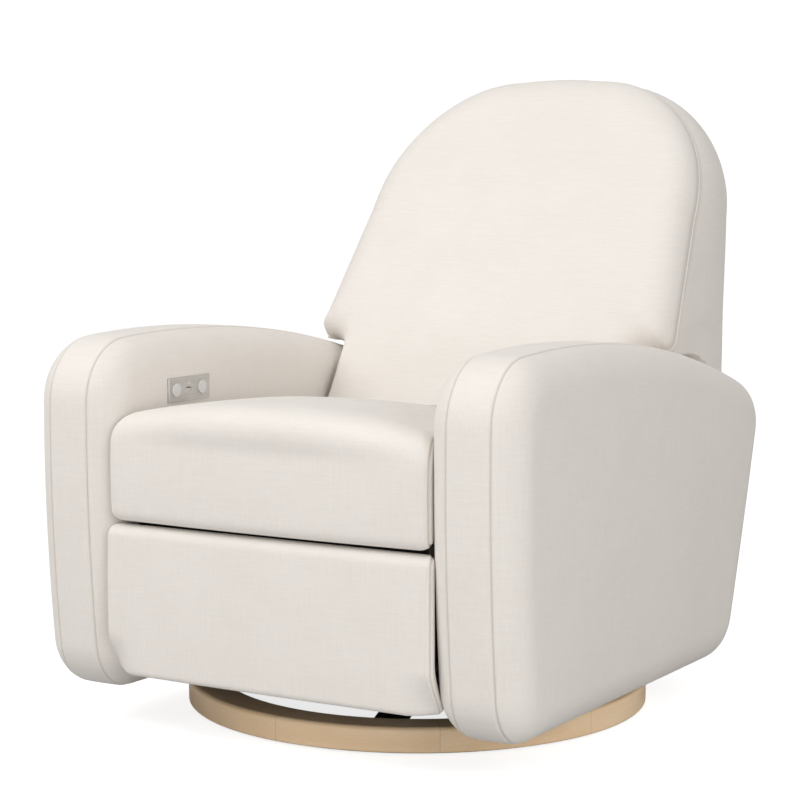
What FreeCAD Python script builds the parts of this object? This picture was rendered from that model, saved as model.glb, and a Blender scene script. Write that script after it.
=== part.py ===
import FreeCAD, Part
import math
import os
import re
import Sketcher

# Power glider recliner on a swivel ring. Millimetres, +Z up, the chair faces -Y,
# origin on the floor at the swivel axis.

vector = FreeCAD.Vector
turn_none = FreeCAD.Rotation()

driving = {
    # swivel base
    "floor_ring_height": 3, "floor_ring_inner": 318, "floor_ring_outer": 348,
    "ring_outer_radius": 360, "ring_inner_radius": 305, "ring_height": 37, "ring_round": 8,
    "bar_width": 38, "bar_height": 22, "bar_floor_gap": 5, "bar_reach": 340, "bar_turn": 20,
    "bar_fit": 0.5, "running_fit": 0.05,
    "race_radius": 130, "race_thickness": 4, "ball_radius": 4, "ball_circle": 100,
    "kingpin_radius": 12, "kingpin_head_radius": 20, "kingpin_head_height": 6,
    # glide
    "deck_tube_size": 25, "deck_tube_y": 110, "stand_inner_x": 180, "stand_thickness": 6,
    "stand_width": 44, "glide_pivot_z": 200, "glide_link_length": 115, "glide_link_width": 24,
    "glide_link_thickness": 5, "link_gap": 2, "pin_radius": 5,
    # chair frame
    "seat_width": 522.4, "arm_thickness": 145, "side_gap": 0.2, "plate_thickness": 4,
    "rail_height": 30, "rail_front_y": -345, "rail_rear_y": 275, "tube_size": 30,
    "front_tube_y": -330, "outrigger_y": -150, "rear_tube_y": 260,
    "arm_front_low_y": -421, "arm_front_low_z": 54.7, "arm_rear_low_y": 323,
    "arm_rear_low_z": 46.2, "arm_rear_top_y": 460, "arm_rear_top_z": 466,
    "arm_front_top_y": -443, "arm_front_top_z": 574, "arm_top_crown": 50,
    "arm_front_crown": 12, "arm_rear_crown": 5, "arm_edge_round": 50,
    "front_low_round": 72, "rear_low_round": 76, "rear_top_round": 75, "front_top_round": 100,
    "frame_front_y": -375, "frame_rear_y": 250, "frame_low_z": 95, "frame_top_z": 420,
    "frame_depth": 110, "panel_thickness": 12, "frame_rail_width": 28,
    # power controls
    "plate_front_y": -300, "plate_rear_y": -194, "plate_low_z": 477.5, "plate_top_z": 515.5,
    "control_plate_thickness": 2, "button_radius": 10.5, "button_spacing": 66,
    "button_height": 1.8, "button_gap": 0.4, "housing_depth": 26, "housing_inset": 4,
    "socket_width": 14, "socket_height": 7, "socket_wall": 0.7, "socket_depth": 18,
    # seat and back
    "cushion_gap": 6, "seat_front_y": -436, "seat_rear_y": 200, "seat_low_z": 318,
    "seat_front_top_z": 470, "seat_rear_top_z": 424, "seat_crown": 26, "seat_round": 32,
    "seat_pocket_top_z": 352, "seat_rail_inner_x": 203, "seat_rail_width": 26,
    "seat_rail_height": 30, "recline_y": 275, "recline_z": 335, "hinge_pin_radius": 6,
    "seam_y": 275.5, "seam_z": 590, "seam_lean": 33, "back_top_z": 976,
    "wing_front_z": 544, "wing_low_x": 322, "wing_arc_x": 76, "wing_arc_z": 747,
    "wing_arc_radius": 226, "wing_crown": 4, "shell_low_x": 243, "shell_low_z": 230,
    "shell_wall": 8, "post_low_z": 460, "post_top_z": 850, "post_thickness": 26, "post_offset": 30,
    "rail_depth": 36, "spring_wire": 1.8, "bolt_low_z": 485, "bolt_high_z": 510, "bolt_radius": 4,
    # footrest
    "board_back_y": -399, "board_thickness": 12, "pad_low_z": 91, "pad_top_z": 312,
    "pad_round": 16, "board_inset": 9, "leg_pivot_y": -340, "leg_pivot_z": 290,
    "leg_spread_y": 46, "leg_spread_z": -19, "leg_length": 205, "leg_angle": -120,
    "leg_turn": 105, "board_pivot_y": -384, "board_pivot_z": 200, "leg_width": 20,
    "leg_thickness": 5, "leg_layer_gap": 1, "tilt_on_leg": 180, "tilt_leg_offset": 8.8,
    "tilt_on_board_y": -1.8, "tilt_on_board_z": 30, "shaft_radius": 8,
    # actuator
    "actuator_tilt": 14, "crank_offset": 44, "actuator_travel": 101, "clevis_y": 225,
    "tube_radius": 22, "rod_radius": 8, "tube_length": 430, "motor_radius": 30,
    "crank_slot": 9.8,
    # rear
    "valance_thickness": 13, "valance_low_z": 58, "valance_top_z": 195, "valance_inset": 2,
    "inlet_x": 150, "inlet_rise": 35, "inlet_radius": 9,
}

document = FreeCAD.newDocument("glider_chair")
sizes = document.addObject("Spreadsheet::Sheet", "sizes")
for row, (alias, size) in enumerate(driving.items(), start=1):
    sizes.set(f"A{row}", alias)
    sizes.set(f"B{row}", str(size))
    sizes.setAlias(f"B{row}", alias)
document.recompute()

nodes = {}


def bound(text):
    """The expression with each alias written as the sheet's own cell."""
    return re.sub(r"[a-z]\w*", lambda w: "sizes." + w.group() if w.group() in driving else w.group(), text)


def number(text):
    """The value of an expression, in millimetres or degrees."""
    if not isinstance(text, str):
        return float(text)
    answer = sizes.evalExpression(bound(text))
    return float(getattr(answer, "Value", answer))


def bind(item, **cells):
    """Bind properties to expressions; a double underscore stands for a dot."""
    for name, text in cells.items():
        item.setExpression(name.replace("__", "."), bound(str(text)))


def as_text(value):
    return value if isinstance(value, str) else repr(round(float(value), 6))


def node(name, *items):
    """Name one sub-part; several items become one node of separate solids."""
    if len(items) == 1:
        item = items[0]
    else:
        item = document.addObject("Part::Compound", name)
        item.Links = list(items)
    item.Label = name
    nodes[name] = item
    return item


def box(name, x, y, z):
    item = document.addObject("Part::Box", name)
    for (low, high), place, side in zip((x, y, z), "xyz", ("Length", "Width", "Height")):
        low, high = as_text(low), as_text(high)
        item.setExpression("Placement.Base." + place, bound(low))
        item.setExpression(side, bound(f"({high}) - ({low})"))
    return item


def turned_bar(name, reach, half_width, span, angle):
    """A flat bar through the Z axis, turned about it by an angle in degrees."""
    item = document.addObject("Part::Box", name)
    bind(item, Length=f"2*({reach})", Width=f"2*({half_width})", Height=f"({span[1]}) - ({span[0]})")
    turn = FreeCAD.Rotation(vector(0, 0, 1), angle)
    corner = turn.multVec(vector(-number(reach), -number(half_width), number(span[0])))
    item.Placement = FreeCAD.Placement(corner, turn)
    return item


def cylinder(name, axis, centre, span, radius):
    """A cylinder along X, Y or Z; centre holds the two other coordinates in order."""
    item = document.addObject("Part::Cylinder", name)
    low, high = as_text(span[0]), as_text(span[1])
    direction = {"x": vector(1, 0, 0), "y": vector(0, 1, 0), "z": vector(0, 0, 1)}[axis]
    item.Placement = FreeCAD.Placement(vector(), FreeCAD.Rotation(vector(0, 0, 1), direction))
    across = [letter for letter in "xyz" if letter != axis]
    for letter, text in zip(across, centre):
        item.setExpression("Placement.Base." + letter, bound(as_text(text)))
    item.setExpression("Placement.Base." + axis, bound(low))
    item.setExpression("Height", bound(f"({high}) - ({low})"))
    item.setExpression("Radius", bound(as_text(radius)))
    return item


def fused(name, *items):
    item = document.addObject("Part::MultiFuse", name)
    item.Shapes = list(items)
    return item


def common(name, *items):
    item = document.addObject("Part::MultiCommon", name)
    item.Shapes = list(items)
    return item


def cut(name, base, *tools):
    item = document.addObject("Part::Cut", name)
    item.Base = base
    item.Tool = tools[0] if len(tools) == 1 else fused(name + "_tools", *tools)
    return item


def mirrored(item):
    copy = document.addObject("Part::Mirroring", item.Name + "_mirrored")
    copy.Source = item
    copy.Base = vector()
    copy.Normal = vector(1, 0, 0)
    return copy


def shaped(name, shape):
    """A sub-part whose shape Part's own functions make from the sheet's sizes."""
    item = document.addObject("Part::Feature", name)
    item.Shape = shape
    return item


def origin_plane(body, role):
    return next(feature for feature in body.Origin.OriginFeatures if feature.Role == role)


def new_sketch(body, role, name, offset):
    sketch = body.newObject("Sketcher::SketchObject", name)
    sketch.AttachmentSupport = [(origin_plane(body, role), "")]
    sketch.MapMode = "FlatFace"
    sketch.AttachmentOffset = FreeCAD.Placement(vector(0, 0, number(offset)), turn_none)
    return sketch


def outline(sketch, corners, bulges=None):
    """A closed outline; a bulge turns the edge that starts at its corner into an arc."""
    bulges = bulges or [0] * len(corners)
    points = [vector(number(across), number(up), 0) for across, up in corners]
    count = len(points)
    starts = []
    for index, start in enumerate(points):
        end = points[(index + 1) % count]
        if bulges[index] == 0:
            sketch.addGeometry(Part.LineSegment(start, end))
        else:
            chord = end - start
            outward = vector(chord.y, -chord.x, 0).normalize()
            middle = (start + end) * 0.5 + outward * number(bulges[index])
            sketch.addGeometry(Part.Arc(start, middle, end))
        edge = sketch.Geometry[index]
        starts.append(1 if (edge.StartPoint - start).Length < 1e-6 else 2)
    for index in range(count):
        following = (index + 1) % count
        joint = Sketcher.Constraint("Coincident", index, 3 - starts[index], following, starts[following])
        sketch.addConstraint(joint)
    for index, corner in enumerate(corners):
        for kind, text in zip(("DistanceX", "DistanceY"), corner):
            place = Sketcher.Constraint(kind, -1, 1, index, starts[index], number(text))
            slot = sketch.addConstraint(place)
            if isinstance(text, str):
                sketch.setExpression(f"Constraints[{slot}]", bound(text))
        if bulges[index] != 0:
            sketch.addConstraint(Sketcher.Constraint("Radius", index, sketch.Geometry[index].Radius))


def padded(name, role, corners, start, length, bulges=None):
    """A body: one closed outline on an origin plane, padded along the plane's normal."""
    body = document.addObject("PartDesign::Body", name)
    sketch = new_sketch(body, role, name + "_outline", start)
    outline(sketch, corners, bulges)
    pad = body.newObject("PartDesign::Pad", name + "_pad")
    pad.Profile = sketch
    pad.setExpression("Length", bound(as_text(length)))
    document.recompute()
    return body


def rounded(body, radius, wanted):
    """Fillet the edges that the test picks."""
    base = body.Tip
    edges = [f"Edge{k}" for k, edge in enumerate(base.Shape.Edges, start=1) if wanted(edge)]
    fillet = body.newObject("PartDesign::Fillet", body.Name + "_round")
    fillet.Base = (base, edges)
    fillet.setExpression("Radius", bound(as_text(radius)))
    document.recompute()
    return body


def runs_along(edge, axis):
    ends = [edge.Vertexes[0].Point, edge.Vertexes[-1].Point]
    moved = ends[1] - ends[0]
    return all(abs(getattr(moved, other)) < 1e-6 for other in "xyz" if other != axis) and moved.Length > 1


def in_plane(edge, axis):
    return getattr(edge.BoundBox, axis.upper() + "Length") < 1e-6


def slot_bar(name, first, last, start, thickness, half_width):
    """A flat link on the YZ plane with rounded ends, first and last being (y, z) centres."""
    body = document.addObject("PartDesign::Body", name)
    sketch = new_sketch(body, "YZ_Plane", name + "_outline", start)
    begin, end = [vector(number(y), number(z), 0) for y, z in (first, last)]
    half = number(half_width)
    along = (end - begin).normalize()
    aside = vector(-along.y, along.x, 0)
    normal = vector(0, 0, 1)
    heading = math.atan2(along.y, along.x)
    quarter = math.pi / 2
    sketch.addGeometry(Part.LineSegment(begin - aside * half, end - aside * half))
    sketch.addGeometry(Part.ArcOfCircle(Part.Circle(end, normal, half), heading - quarter, heading + quarter))
    sketch.addGeometry(Part.LineSegment(end + aside * half, begin + aside * half))
    sketch.addGeometry(
        Part.ArcOfCircle(Part.Circle(begin, normal, half), heading + quarter, heading + 3 * quarter))
    for one, other in ((0, 1), (1, 2), (2, 3), (3, 0)):
        sketch.addConstraint(Sketcher.Constraint("Tangent", one, 2, other, 1))
    for arc, centre in ((1, last), (3, first)):
        for kind, text in zip(("DistanceX", "DistanceY"), centre):
            slot = sketch.addConstraint(Sketcher.Constraint(kind, -1, 1, arc, 3, number(text)))
            if isinstance(text, str):
                sketch.setExpression(f"Constraints[{slot}]", bound(text))
    slot = sketch.addConstraint(Sketcher.Constraint("Radius", 1, half))
    sketch.setExpression(f"Constraints[{slot}]", bound(as_text(half_width)))
    pad = body.newObject("PartDesign::Pad", name + "_pad")
    pad.Profile = sketch
    pad.setExpression("Length", bound(as_text(thickness)))
    document.recompute()
    return body


def x_hole(name, place, span, radius):
    return cylinder(name, "x", place, span, radius)


def sinuous(length, width, pitch, radius):
    """A zigzag no-sag spring along +Y, centred on X, in the XY plane."""
    turns = max(2, int(round(length / pitch)))
    step = length / turns
    half = width / 2 - step / 2
    edges = []
    side = 1
    start = vector(-half, 0, 0)
    for index in range(turns):
        corner = vector(side * half, index * step, 0)
        edges.append(Part.LineSegment(start, corner).toShape())
        after = vector(side * half, (index + 1) * step, 0)
        middle = vector(side * (half + step / 2), (index + 0.5) * step, 0)
        edges.append(Part.Arc(corner, middle, after).toShape())
        start = after
        side = -side
    edges.append(Part.LineSegment(start, vector(side * half, turns * step, 0)).toShape())
    path = Part.Wire(edges)
    section = Part.Wire(Part.makeCircle(radius, vector(-half, 0, 0), vector(1, 0, 0)))
    return path.makePipeShell([section], True, True)


# levels that several pieces share
bar_low = "(bar_floor_gap)"
bar_top = "(bar_floor_gap + bar_height)"
lower_race_top = "(bar_floor_gap + bar_height + race_thickness)"
upper_race_low = "(bar_floor_gap + bar_height + race_thickness + 2*ball_radius)"
deck_low = "(bar_floor_gap + bar_height + 2*race_thickness + 2*ball_radius)"
deck_top = "(bar_floor_gap + bar_height + 2*race_thickness + 2*ball_radius + deck_tube_size)"
stand_outer_x = "(stand_inner_x + stand_thickness)"
glide_link_x = "(stand_inner_x + stand_thickness + link_gap)"
rail_x = "(stand_inner_x + stand_thickness + 2*link_gap + glide_link_thickness)"
rail_outer_x = "(stand_inner_x + stand_thickness + 2*link_gap + glide_link_thickness + plate_thickness)"
rail_z = "(glide_pivot_z - glide_link_length)"
arm_x = "(seat_width/2)"
plate_x = "(seat_width/2 - side_gap - plate_thickness)"
cushion_x = "(seat_width/2 - cushion_gap)"


def build_base():
    """Wood ring, steel cross and the fixed half of the swivel bearing."""
    body = document.addObject("PartDesign::Body", "base_ring_body")
    sketch = new_sketch(body, "XZ_Plane", "base_ring_outline", 0)
    low, high = "floor_ring_height", "floor_ring_height + ring_height"
    inner, outer = "ring_inner_radius", "ring_outer_radius"
    outline(sketch, [(inner, low), (outer, low), (outer, high), (inner, high)])
    turned = body.newObject("PartDesign::Revolution", "base_ring_turned")
    turned.Profile = sketch
    turned.ReferenceAxis = (sketch, ["V_Axis"])
    turned.Angle = 360
    document.recompute()
    top = number(high)
    rounded(body, "ring_round", lambda edge: abs(edge.BoundBox.ZMin - top) < 1e-6 and in_plane(edge, "z"))
    bars = []
    notches = []
    for index in range(2):
        angle = number("bar_turn") - 90 + 90 * index
        bars.append(turned_bar(f"bar_{index}", "bar_reach", "bar_width/2", (bar_low, bar_top), angle))
        notches.append(turned_bar(f"notch_{index}", "bar_reach + bar_fit", "bar_width/2 + bar_fit",
                                  ("0", bar_top + " + bar_fit"), angle))
    node("base_ring", cut("base_ring_cut", body, *notches))
    crossing = cut("short_bars", bars[1], bars[0])
    node("base_cross_bars", bars[0], crossing)
    floor = cut("floor_ring_cut",
                cylinder("floor_ring_disc", "z", (0, 0), (0, "floor_ring_height"), "floor_ring_outer"),
                cylinder("floor_ring_hole", "z", (0, 0), (-1, "floor_ring_height + 1"), "floor_ring_inner"))
    node("floor_ring", floor)
    screws = []
    for index in range(4):
        angle = math.radians(number("bar_turn") - 90 + 90 * index)
        reach = number("(ring_inner_radius + bar_reach)/2")
        place = (reach * math.cos(angle), reach * math.sin(angle))
        screws.append(cylinder(f"ring_screw_{index}", "z", place,
                               ("bar_floor_gap - 1.5", bar_low), "6"))
    node("ring_screws", *screws)
    race = cut("lower_race_cut",
               cylinder("lower_race_disc", "z", (0, 0), (bar_top, lower_race_top), "race_radius"),
               cylinder("lower_race_hole", "z", (0, 0), (bar_low, deck_low), "kingpin_radius"))
    node("swivel_lower_race", race)
    balls = []
    ball_count = 16
    for index in range(ball_count):
        angle = math.tau * index / ball_count
        ball = document.addObject("Part::Sphere", f"ball_{index}")
        bind(ball, Radius="ball_radius - running_fit/2")
        radius = number("ball_circle")
        level = number(lower_race_top + " + ball_radius")
        ball.Placement.Base = vector(radius * math.cos(angle), radius * math.sin(angle), level)
        balls.append(ball)
    node("swivel_balls", *balls)
    head_low = deck_low + " + running_fit"
    pin = fused("kingpin_fused",
                cylinder("kingpin_shaft", "z", (0, 0), (bar_top, head_low), "kingpin_radius"),
                cylinder("kingpin_head", "z", (0, 0), (head_low, head_low + " + kingpin_head_height"),
                         "kingpin_head_radius"))
    node("kingpin", pin)


def build_deck():
    """The turning half of the bearing and the four stands that the chair hangs from."""
    race = cut("upper_race_cut",
               cylinder("upper_race_disc", "z", (0, 0), (upper_race_low, deck_low), "race_radius"),
               cylinder("upper_race_hole", "z", (0, 0), (bar_low, deck_top),
                        "kingpin_radius + running_fit"))
    node("swivel_upper_race", race)
    tubes = []
    for name, middle in (("front", "-deck_tube_y"), ("rear", "deck_tube_y")):
        span_y = (f"{middle} - deck_tube_size/2", f"{middle} + deck_tube_size/2")
        tubes.append(box(f"deck_tube_{name}", ("-stand_inner_x", "stand_inner_x"), span_y,
                         (deck_low, deck_top)))
    node("deck_tubes", *tubes)
    stands = []
    pins = []
    for name, middle in (("front", "-deck_tube_y"), ("rear", "deck_tube_y")):
        stand = slot_bar(f"stand_{name}", (middle, deck_low + " + stand_width/2"), (middle, "glide_pivot_z"),
                         "stand_inner_x", "stand_thickness", "stand_width/2 - 4")
        hole = x_hole(f"stand_hole_{name}", (middle, "glide_pivot_z"),
                      ("stand_inner_x - 1", stand_outer_x + " + 1"), "pin_radius")
        drilled = cut(f"stand_drilled_{name}", stand, hole)
        stands += [drilled, mirrored(drilled)]
        pin = x_hole(f"upper_pin_{name}", (middle, "glide_pivot_z"),
                     ("stand_inner_x", glide_link_x + " + glide_link_thickness + 1"), "pin_radius")
        pins += [pin, mirrored(pin)]
    node("glide_stands", *stands)
    node("upper_link_pins", *pins)


def build_glide_links():
    for name, middle in (("front", "-deck_tube_y"), ("rear", "deck_tube_y")):
        bar = slot_bar(f"{name}_swing_bar", (middle, rail_z), (middle, "glide_pivot_z"), glide_link_x,
                       "glide_link_thickness", "glide_link_width/2")
        span = (glide_link_x + " - 1", glide_link_x + " + glide_link_thickness + 1")
        holes = [x_hole(f"{name}_swing_hole_{level}", (middle, height), span, "pin_radius + running_fit")
                 for level, height in (("low", rail_z), ("high", "glide_pivot_z"))]
        link = cut(f"{name}_swing_drilled", bar, *holes)
        node(f"{name}_swing_links", link, mirrored(link))


def build_chair_frame():
    """Rails that hang on the glide links, cross tubes and the plates that carry the recliner."""
    rail = box("glider_rail", (rail_x, rail_outer_x), ("rail_front_y", "rail_rear_y"),
               (rail_z + " - rail_height/2", rail_z + " + rail_height/2"))
    holes = [x_hole(f"rail_hole_{k}", (middle, rail_z), (rail_x + " - 1", rail_outer_x + " + 1"),
                    "pin_radius") for k, middle in enumerate(("-deck_tube_y", "deck_tube_y"))]
    rail = cut("glider_rail_drilled", rail, *holes)
    node("glider_rails", rail, mirrored(rail))
    pins = []
    for k, middle in enumerate(("-deck_tube_y", "deck_tube_y")):
        pin = x_hole(f"lower_pin_{k}", (middle, rail_z), (glide_link_x + " - 1", rail_outer_x),
                     "pin_radius")
        pins += [pin, mirrored(pin)]
    node("lower_link_pins", *pins)
    level = (rail_z + " - tube_size/2", rail_z + " + tube_size/2")
    node("front_cross_tube", box("front_tube", ("-" + rail_x, rail_x),
                                 ("front_tube_y - tube_size/2", "front_tube_y + tube_size/2"), level))
    outrigger = box("outrigger", (rail_outer_x, plate_x),
                    ("outrigger_y - tube_size/2", "outrigger_y + tube_size/2"), level)
    node("frame_outriggers", outrigger, mirrored(outrigger))
    rear = box("rear_tube", ("-" + plate_x, plate_x),
               ("rear_tube_y - tube_size/2", "rear_tube_y + tube_size/2"),
               (rail_z + " + rail_height/2", rail_z + " + rail_height/2 + tube_size"))
    node("rear_cross_tube", rear)
    corners = [("rear_tube_y + tube_size", rail_z + " - rail_height/2"),
               ("rear_tube_y + tube_size", rail_z + " + rail_height"),
               ("recline_y + 28", "recline_z - 200"), ("recline_y + 28", "recline_z + 14"),
               ("recline_y - 22", "recline_z + 14"), ("recline_y - 22", "leg_pivot_z + 20"),
               ("leg_pivot_y - 22", "leg_pivot_z + 20"), ("leg_pivot_y - 22", "leg_pivot_z - 30"),
               ("outrigger_y - 40", rail_z + " - rail_height/2")]
    plate = padded("side_plate", "YZ_Plane", corners, plate_x, "plate_thickness")
    through = (plate_x + " - 1", arm_x)
    shaft_place = ("leg_pivot_y + leg_spread_y", "leg_pivot_z + leg_spread_z")
    plate = cut("side_plate_drilled", plate,
                x_hole("plate_leg_hole", ("leg_pivot_y", "leg_pivot_z"), through, "pin_radius"),
                x_hole("plate_shaft_hole", shaft_place, through, "shaft_radius + running_fit"),
                x_hole("plate_hinge_hole", ("recline_y", "recline_z"), through, "hinge_pin_radius"))
    node("mechanism_side_plates", plate, mirrored(plate))
    inner = "seat_width/2 - side_gap"
    leg_pin = x_hole("leg_pin", ("leg_pivot_y", "leg_pivot_z"),
                     (leg_x + " - 1", inner), "pin_radius")
    node("leg_pivot_pins", leg_pin, mirrored(leg_pin))
    hinge = x_hole("hinge_pin", ("recline_y", "recline_z"),
                   ("seat_rail_inner_x + seat_rail_width + 1", inner), "hinge_pin_radius")
    node("recline_hinge_pins", hinge, mirrored(hinge))


def build_arms():
    """Upholstered arms over hollow plywood frames."""
    corners = [("arm_front_low_y", "arm_front_low_z"), ("arm_rear_low_y", "arm_rear_low_z"),
               ("arm_rear_top_y", "arm_rear_top_z"), ("arm_front_top_y", "arm_front_top_z")]
    bulges = [0, "arm_rear_crown", "arm_top_crown", "arm_front_crown"]
    rounds = ["front_low_round", "rear_low_round", "rear_top_round", "front_top_round"]
    pads = []
    for side in ("left", "right"):
        body = padded(f"{side}_arm_body", "YZ_Plane", corners, arm_x, "arm_thickness", bulges)
        for corner, radius in zip(corners, rounds):
            place = [number(text) for text in corner]
            rounded(body, radius, lambda edge: runs_along(edge, "x") and math.hypot(
                edge.Vertexes[0].Point.y - place[0], edge.Vertexes[0].Point.z - place[1]) < 1)
        rounded(body, "arm_edge_round", lambda edge: in_plane(edge, "x"))
        pads.append(body)
    cavity = [box(f"arm_cavity_{side}", (arm_x + " - 60", arm_x + " + frame_depth"),
                  ("frame_front_y", "frame_rear_y"), ("frame_low_z", "frame_top_z"))
              for side in ("left", "right")]
    node("left_arm_pad", cut("left_arm_cut", pads[0], cavity[0]))
    pocket = box("switch_pocket", (arm_x + " - 60", arm_x + " + housing_depth"),
                 ("plate_front_y + housing_inset", "plate_rear_y - housing_inset"),
                 ("plate_low_z + housing_inset", "plate_top_z - housing_inset"))
    node("right_arm_pad", mirrored(cut("right_arm_cut", pads[1], cavity[1], pocket)))
    inset = "side_gap"
    deep = (f"frame_front_y + {inset}", f"frame_rear_y - {inset}")
    tall = (f"frame_low_z + {inset}", f"frame_top_z - {inset}")
    inner_x = (arm_x, arm_x + " + panel_thickness")
    outer_x = (arm_x + f" + frame_depth - panel_thickness - {inset}", arm_x + f" + frame_depth - {inset}")
    for name, span in (("arm_inner_panels", inner_x), ("arm_outer_panels", outer_x)):
        panel = box(name + "_box", span, deep, tall)
        node(name, panel, mirrored(panel))
    between = (inner_x[1], outer_x[0])
    width = "frame_rail_width"
    places = {"low": (deep, (tall[0], f"{tall[0]} + {width}")),
              "top": (deep, (f"{tall[1]} - {width}", tall[1])),
              "front": ((deep[0], f"{deep[0]} + {width}"), (f"{tall[0]} + {width}", f"{tall[1]} - {width}")),
              "rear": ((f"{deep[1]} - {width}", deep[1]), (f"{tall[0]} + {width}", f"{tall[1]} - {width}"))}
    rails = []
    for name, (span_y, span_z) in places.items():
        rail = box(f"arm_rail_{name}", between, span_y, span_z)
        rails += [rail, mirrored(rail)]
    node("arm_frame_rails", *rails)


def build_controls():
    """The control plate on the inner face of the right arm, with its two buttons and socket."""
    middle_y = "(plate_front_y/2 + plate_rear_y/2)"
    middle_z = "(plate_low_z/2 + plate_top_z/2)"
    face = "(-seat_width/2)"
    outer = "(-seat_width/2 + control_plate_thickness)"
    plate = box("control_plate_box", (face, outer), ("plate_front_y", "plate_rear_y"),
                ("plate_low_z", "plate_top_z"))
    housing = box("housing_box", ("-seat_width/2 - housing_depth + side_gap", face),
                  ("plate_front_y + housing_inset + side_gap", "plate_rear_y - housing_inset - side_gap"),
                  ("plate_low_z + housing_inset + side_gap", "plate_top_z - housing_inset - side_gap"))
    plate_tools = []
    housing_tools = []
    buttons = []
    for name, offset in (("open", "-button_spacing/2"), ("close", "button_spacing/2")):
        place = (f"{middle_y} {'-' if offset[0] == '-' else '+'} button_spacing/2", middle_z)
        plate_tools.append(x_hole(f"plate_bore_{name}", place, (face + " - 1", outer + " + 1"),
                                  "button_radius + button_gap"))
        housing_tools.append(x_hole(f"housing_bore_{name}", place, (face + " - 14", face + " + 1"),
                                    "button_radius + button_gap"))
        button = x_hole(f"{name}_button_disc", place, (face + " - 10", outer + " + button_height"),
                        "button_radius")
        soft = document.addObject("Part::Fillet", f"{name}_button_round")
        soft.Base = button
        document.recompute()
        rim = max(range(len(button.Shape.Edges)), key=lambda k: button.Shape.Edges[k].CenterOfMass.x)
        soft.Edges = [(rim + 1, 1.0, 1.0)]
        buttons.append((name, soft))
    width, height = "socket_width/2", "socket_height/2"
    for group, label, deep in ((plate_tools, "plate_slot", face + " - 1"),
                               (housing_tools, "housing_slot", face + " - socket_depth - 0.5")):
        group.append(box(label, (deep, outer + " + 1"),
                         (f"{middle_y} - {width} - 0.1", f"{middle_y} + {width} + 0.1"),
                         (f"{middle_z} - {height} - 0.1", f"{middle_z} + {height} + 0.1")))
    node("control_plate", cut("control_plate_cut", plate, *plate_tools))
    node("switch_housing", cut("switch_housing_cut", housing, *housing_tools))
    for name, soft in buttons:
        node(f"{name}_button", soft)
    mouth = (face + " - socket_depth", outer)
    shell = box("socket_shell", mouth, (f"{middle_y} - {width}", f"{middle_y} + {width}"),
                (f"{middle_z} - {height}", f"{middle_z} + {height}"))
    hollow = box("socket_hollow", (face + " - socket_depth + 1", outer + " + 1"),
                 (f"{middle_y} - {width} + socket_wall", f"{middle_y} + {width} - socket_wall"),
                 (f"{middle_z} - {height} + socket_wall", f"{middle_z} + {height} - socket_wall"))
    tongue = box("socket_tongue", (face + " - socket_depth + 0.5", face),
                 (f"{middle_y} - {width} + 1.4", f"{middle_y} + {width} - 1.4"),
                 (f"{middle_z} + 0.3", f"{middle_z} + 2.1"))
    node("usb_socket", fused("usb_socket_fused", cut("socket_can", shell, hollow), tongue))


def build_seat():
    corners = [("seat_front_y", "seat_low_z"), ("seat_rear_y", "seat_low_z"),
               ("seat_rear_y", "seat_rear_top_z"), ("seat_front_y", "seat_front_top_z")]
    body = padded("seat_body", "YZ_Plane", corners, "-" + cushion_x, "2*" + cushion_x,
                  [0, 0, "seat_crown", 0])
    rounded(body, "seat_round", lambda edge: edge.CenterOfMass.z > number("seat_low_z") + 60
            and not abs(edge.CenterOfMass.y - number("seat_rear_y")) < 1)
    pocket = box("seat_pocket", ("-seat_rail_inner_x - seat_rail_width - 10",
                                 "seat_rail_inner_x + seat_rail_width + 10"),
                 ("seat_front_y + 34", "seat_rear_y + 10"), ("seat_low_z - 10", "seat_pocket_top_z"))
    node("seat_cushion", cut("seat_cut", body, pocket))
    rail_low, rail_top = "seat_low_z + 1", "seat_low_z + 1 + seat_rail_height"
    rail_span = ("seat_front_y + 36", "seat_rear_y - 4")
    rail = box("seat_side_rail", ("seat_rail_inner_x", "seat_rail_inner_x + seat_rail_width"), rail_span,
               (rail_low, rail_top))
    node("seat_side_rails", rail, mirrored(rail))
    inner = ("-seat_rail_inner_x", "seat_rail_inner_x")
    width = "seat_rail_width"
    levels = (rail_low, rail_top)
    crosses = [box("seat_front_rail", inner, (rail_span[0], f"{rail_span[0]} + {width}"), levels),
               box("seat_rear_rail", inner, (f"{rail_span[1]} - {width}", rail_span[1]), levels)]
    node("seat_cross_rails", *crosses)
    wire = number("spring_wire")
    start = number(f"{rail_span[0]} + {width}") + wire + 0.2
    end = number(f"{rail_span[1]} - {width}") - wire - 0.2
    level = number(rail_top) - 6
    springs = []
    spring_count = 5
    for index in range(spring_count):
        across = (index - (spring_count - 1) / 2) * number("seat_rail_inner_x") * 2 / spring_count
        spring = sinuous(end - start, 50, 24, wire)
        spring.translate(vector(across, start, level))
        springs.append(spring)
    node("seat_springs", shaped("seat_springs_shape", Part.makeCompound(springs)))
    hinge_x = "seat_rail_inner_x + seat_rail_width"
    corners = [("seat_rear_y - 96", rail_low), ("recline_y + 16", rail_low),
               ("recline_y + 16", "recline_z + 14"), ("seat_rear_y - 96", "recline_z + 14")]
    plate = padded("seat_hinge_plate", "YZ_Plane", corners, hinge_x, "plate_thickness + 1")
    hole = x_hole("seat_hinge_hole", ("recline_y", "recline_z"), (hinge_x + " - 1", hinge_x + " + 8"),
                  "hinge_pin_radius + running_fit")
    plate = cut("seat_hinge_drilled", plate, hole)
    node("seat_hinge_plates", plate, mirrored(plate))


def seam_at(level, behind=0):
    """Where the leaning seam plane is at a height, moved back along Y."""
    lean = math.tan(math.radians(number("seam_lean")))
    return number("seam_y") + (number(level) - number("seam_z")) * lean + behind


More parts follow.
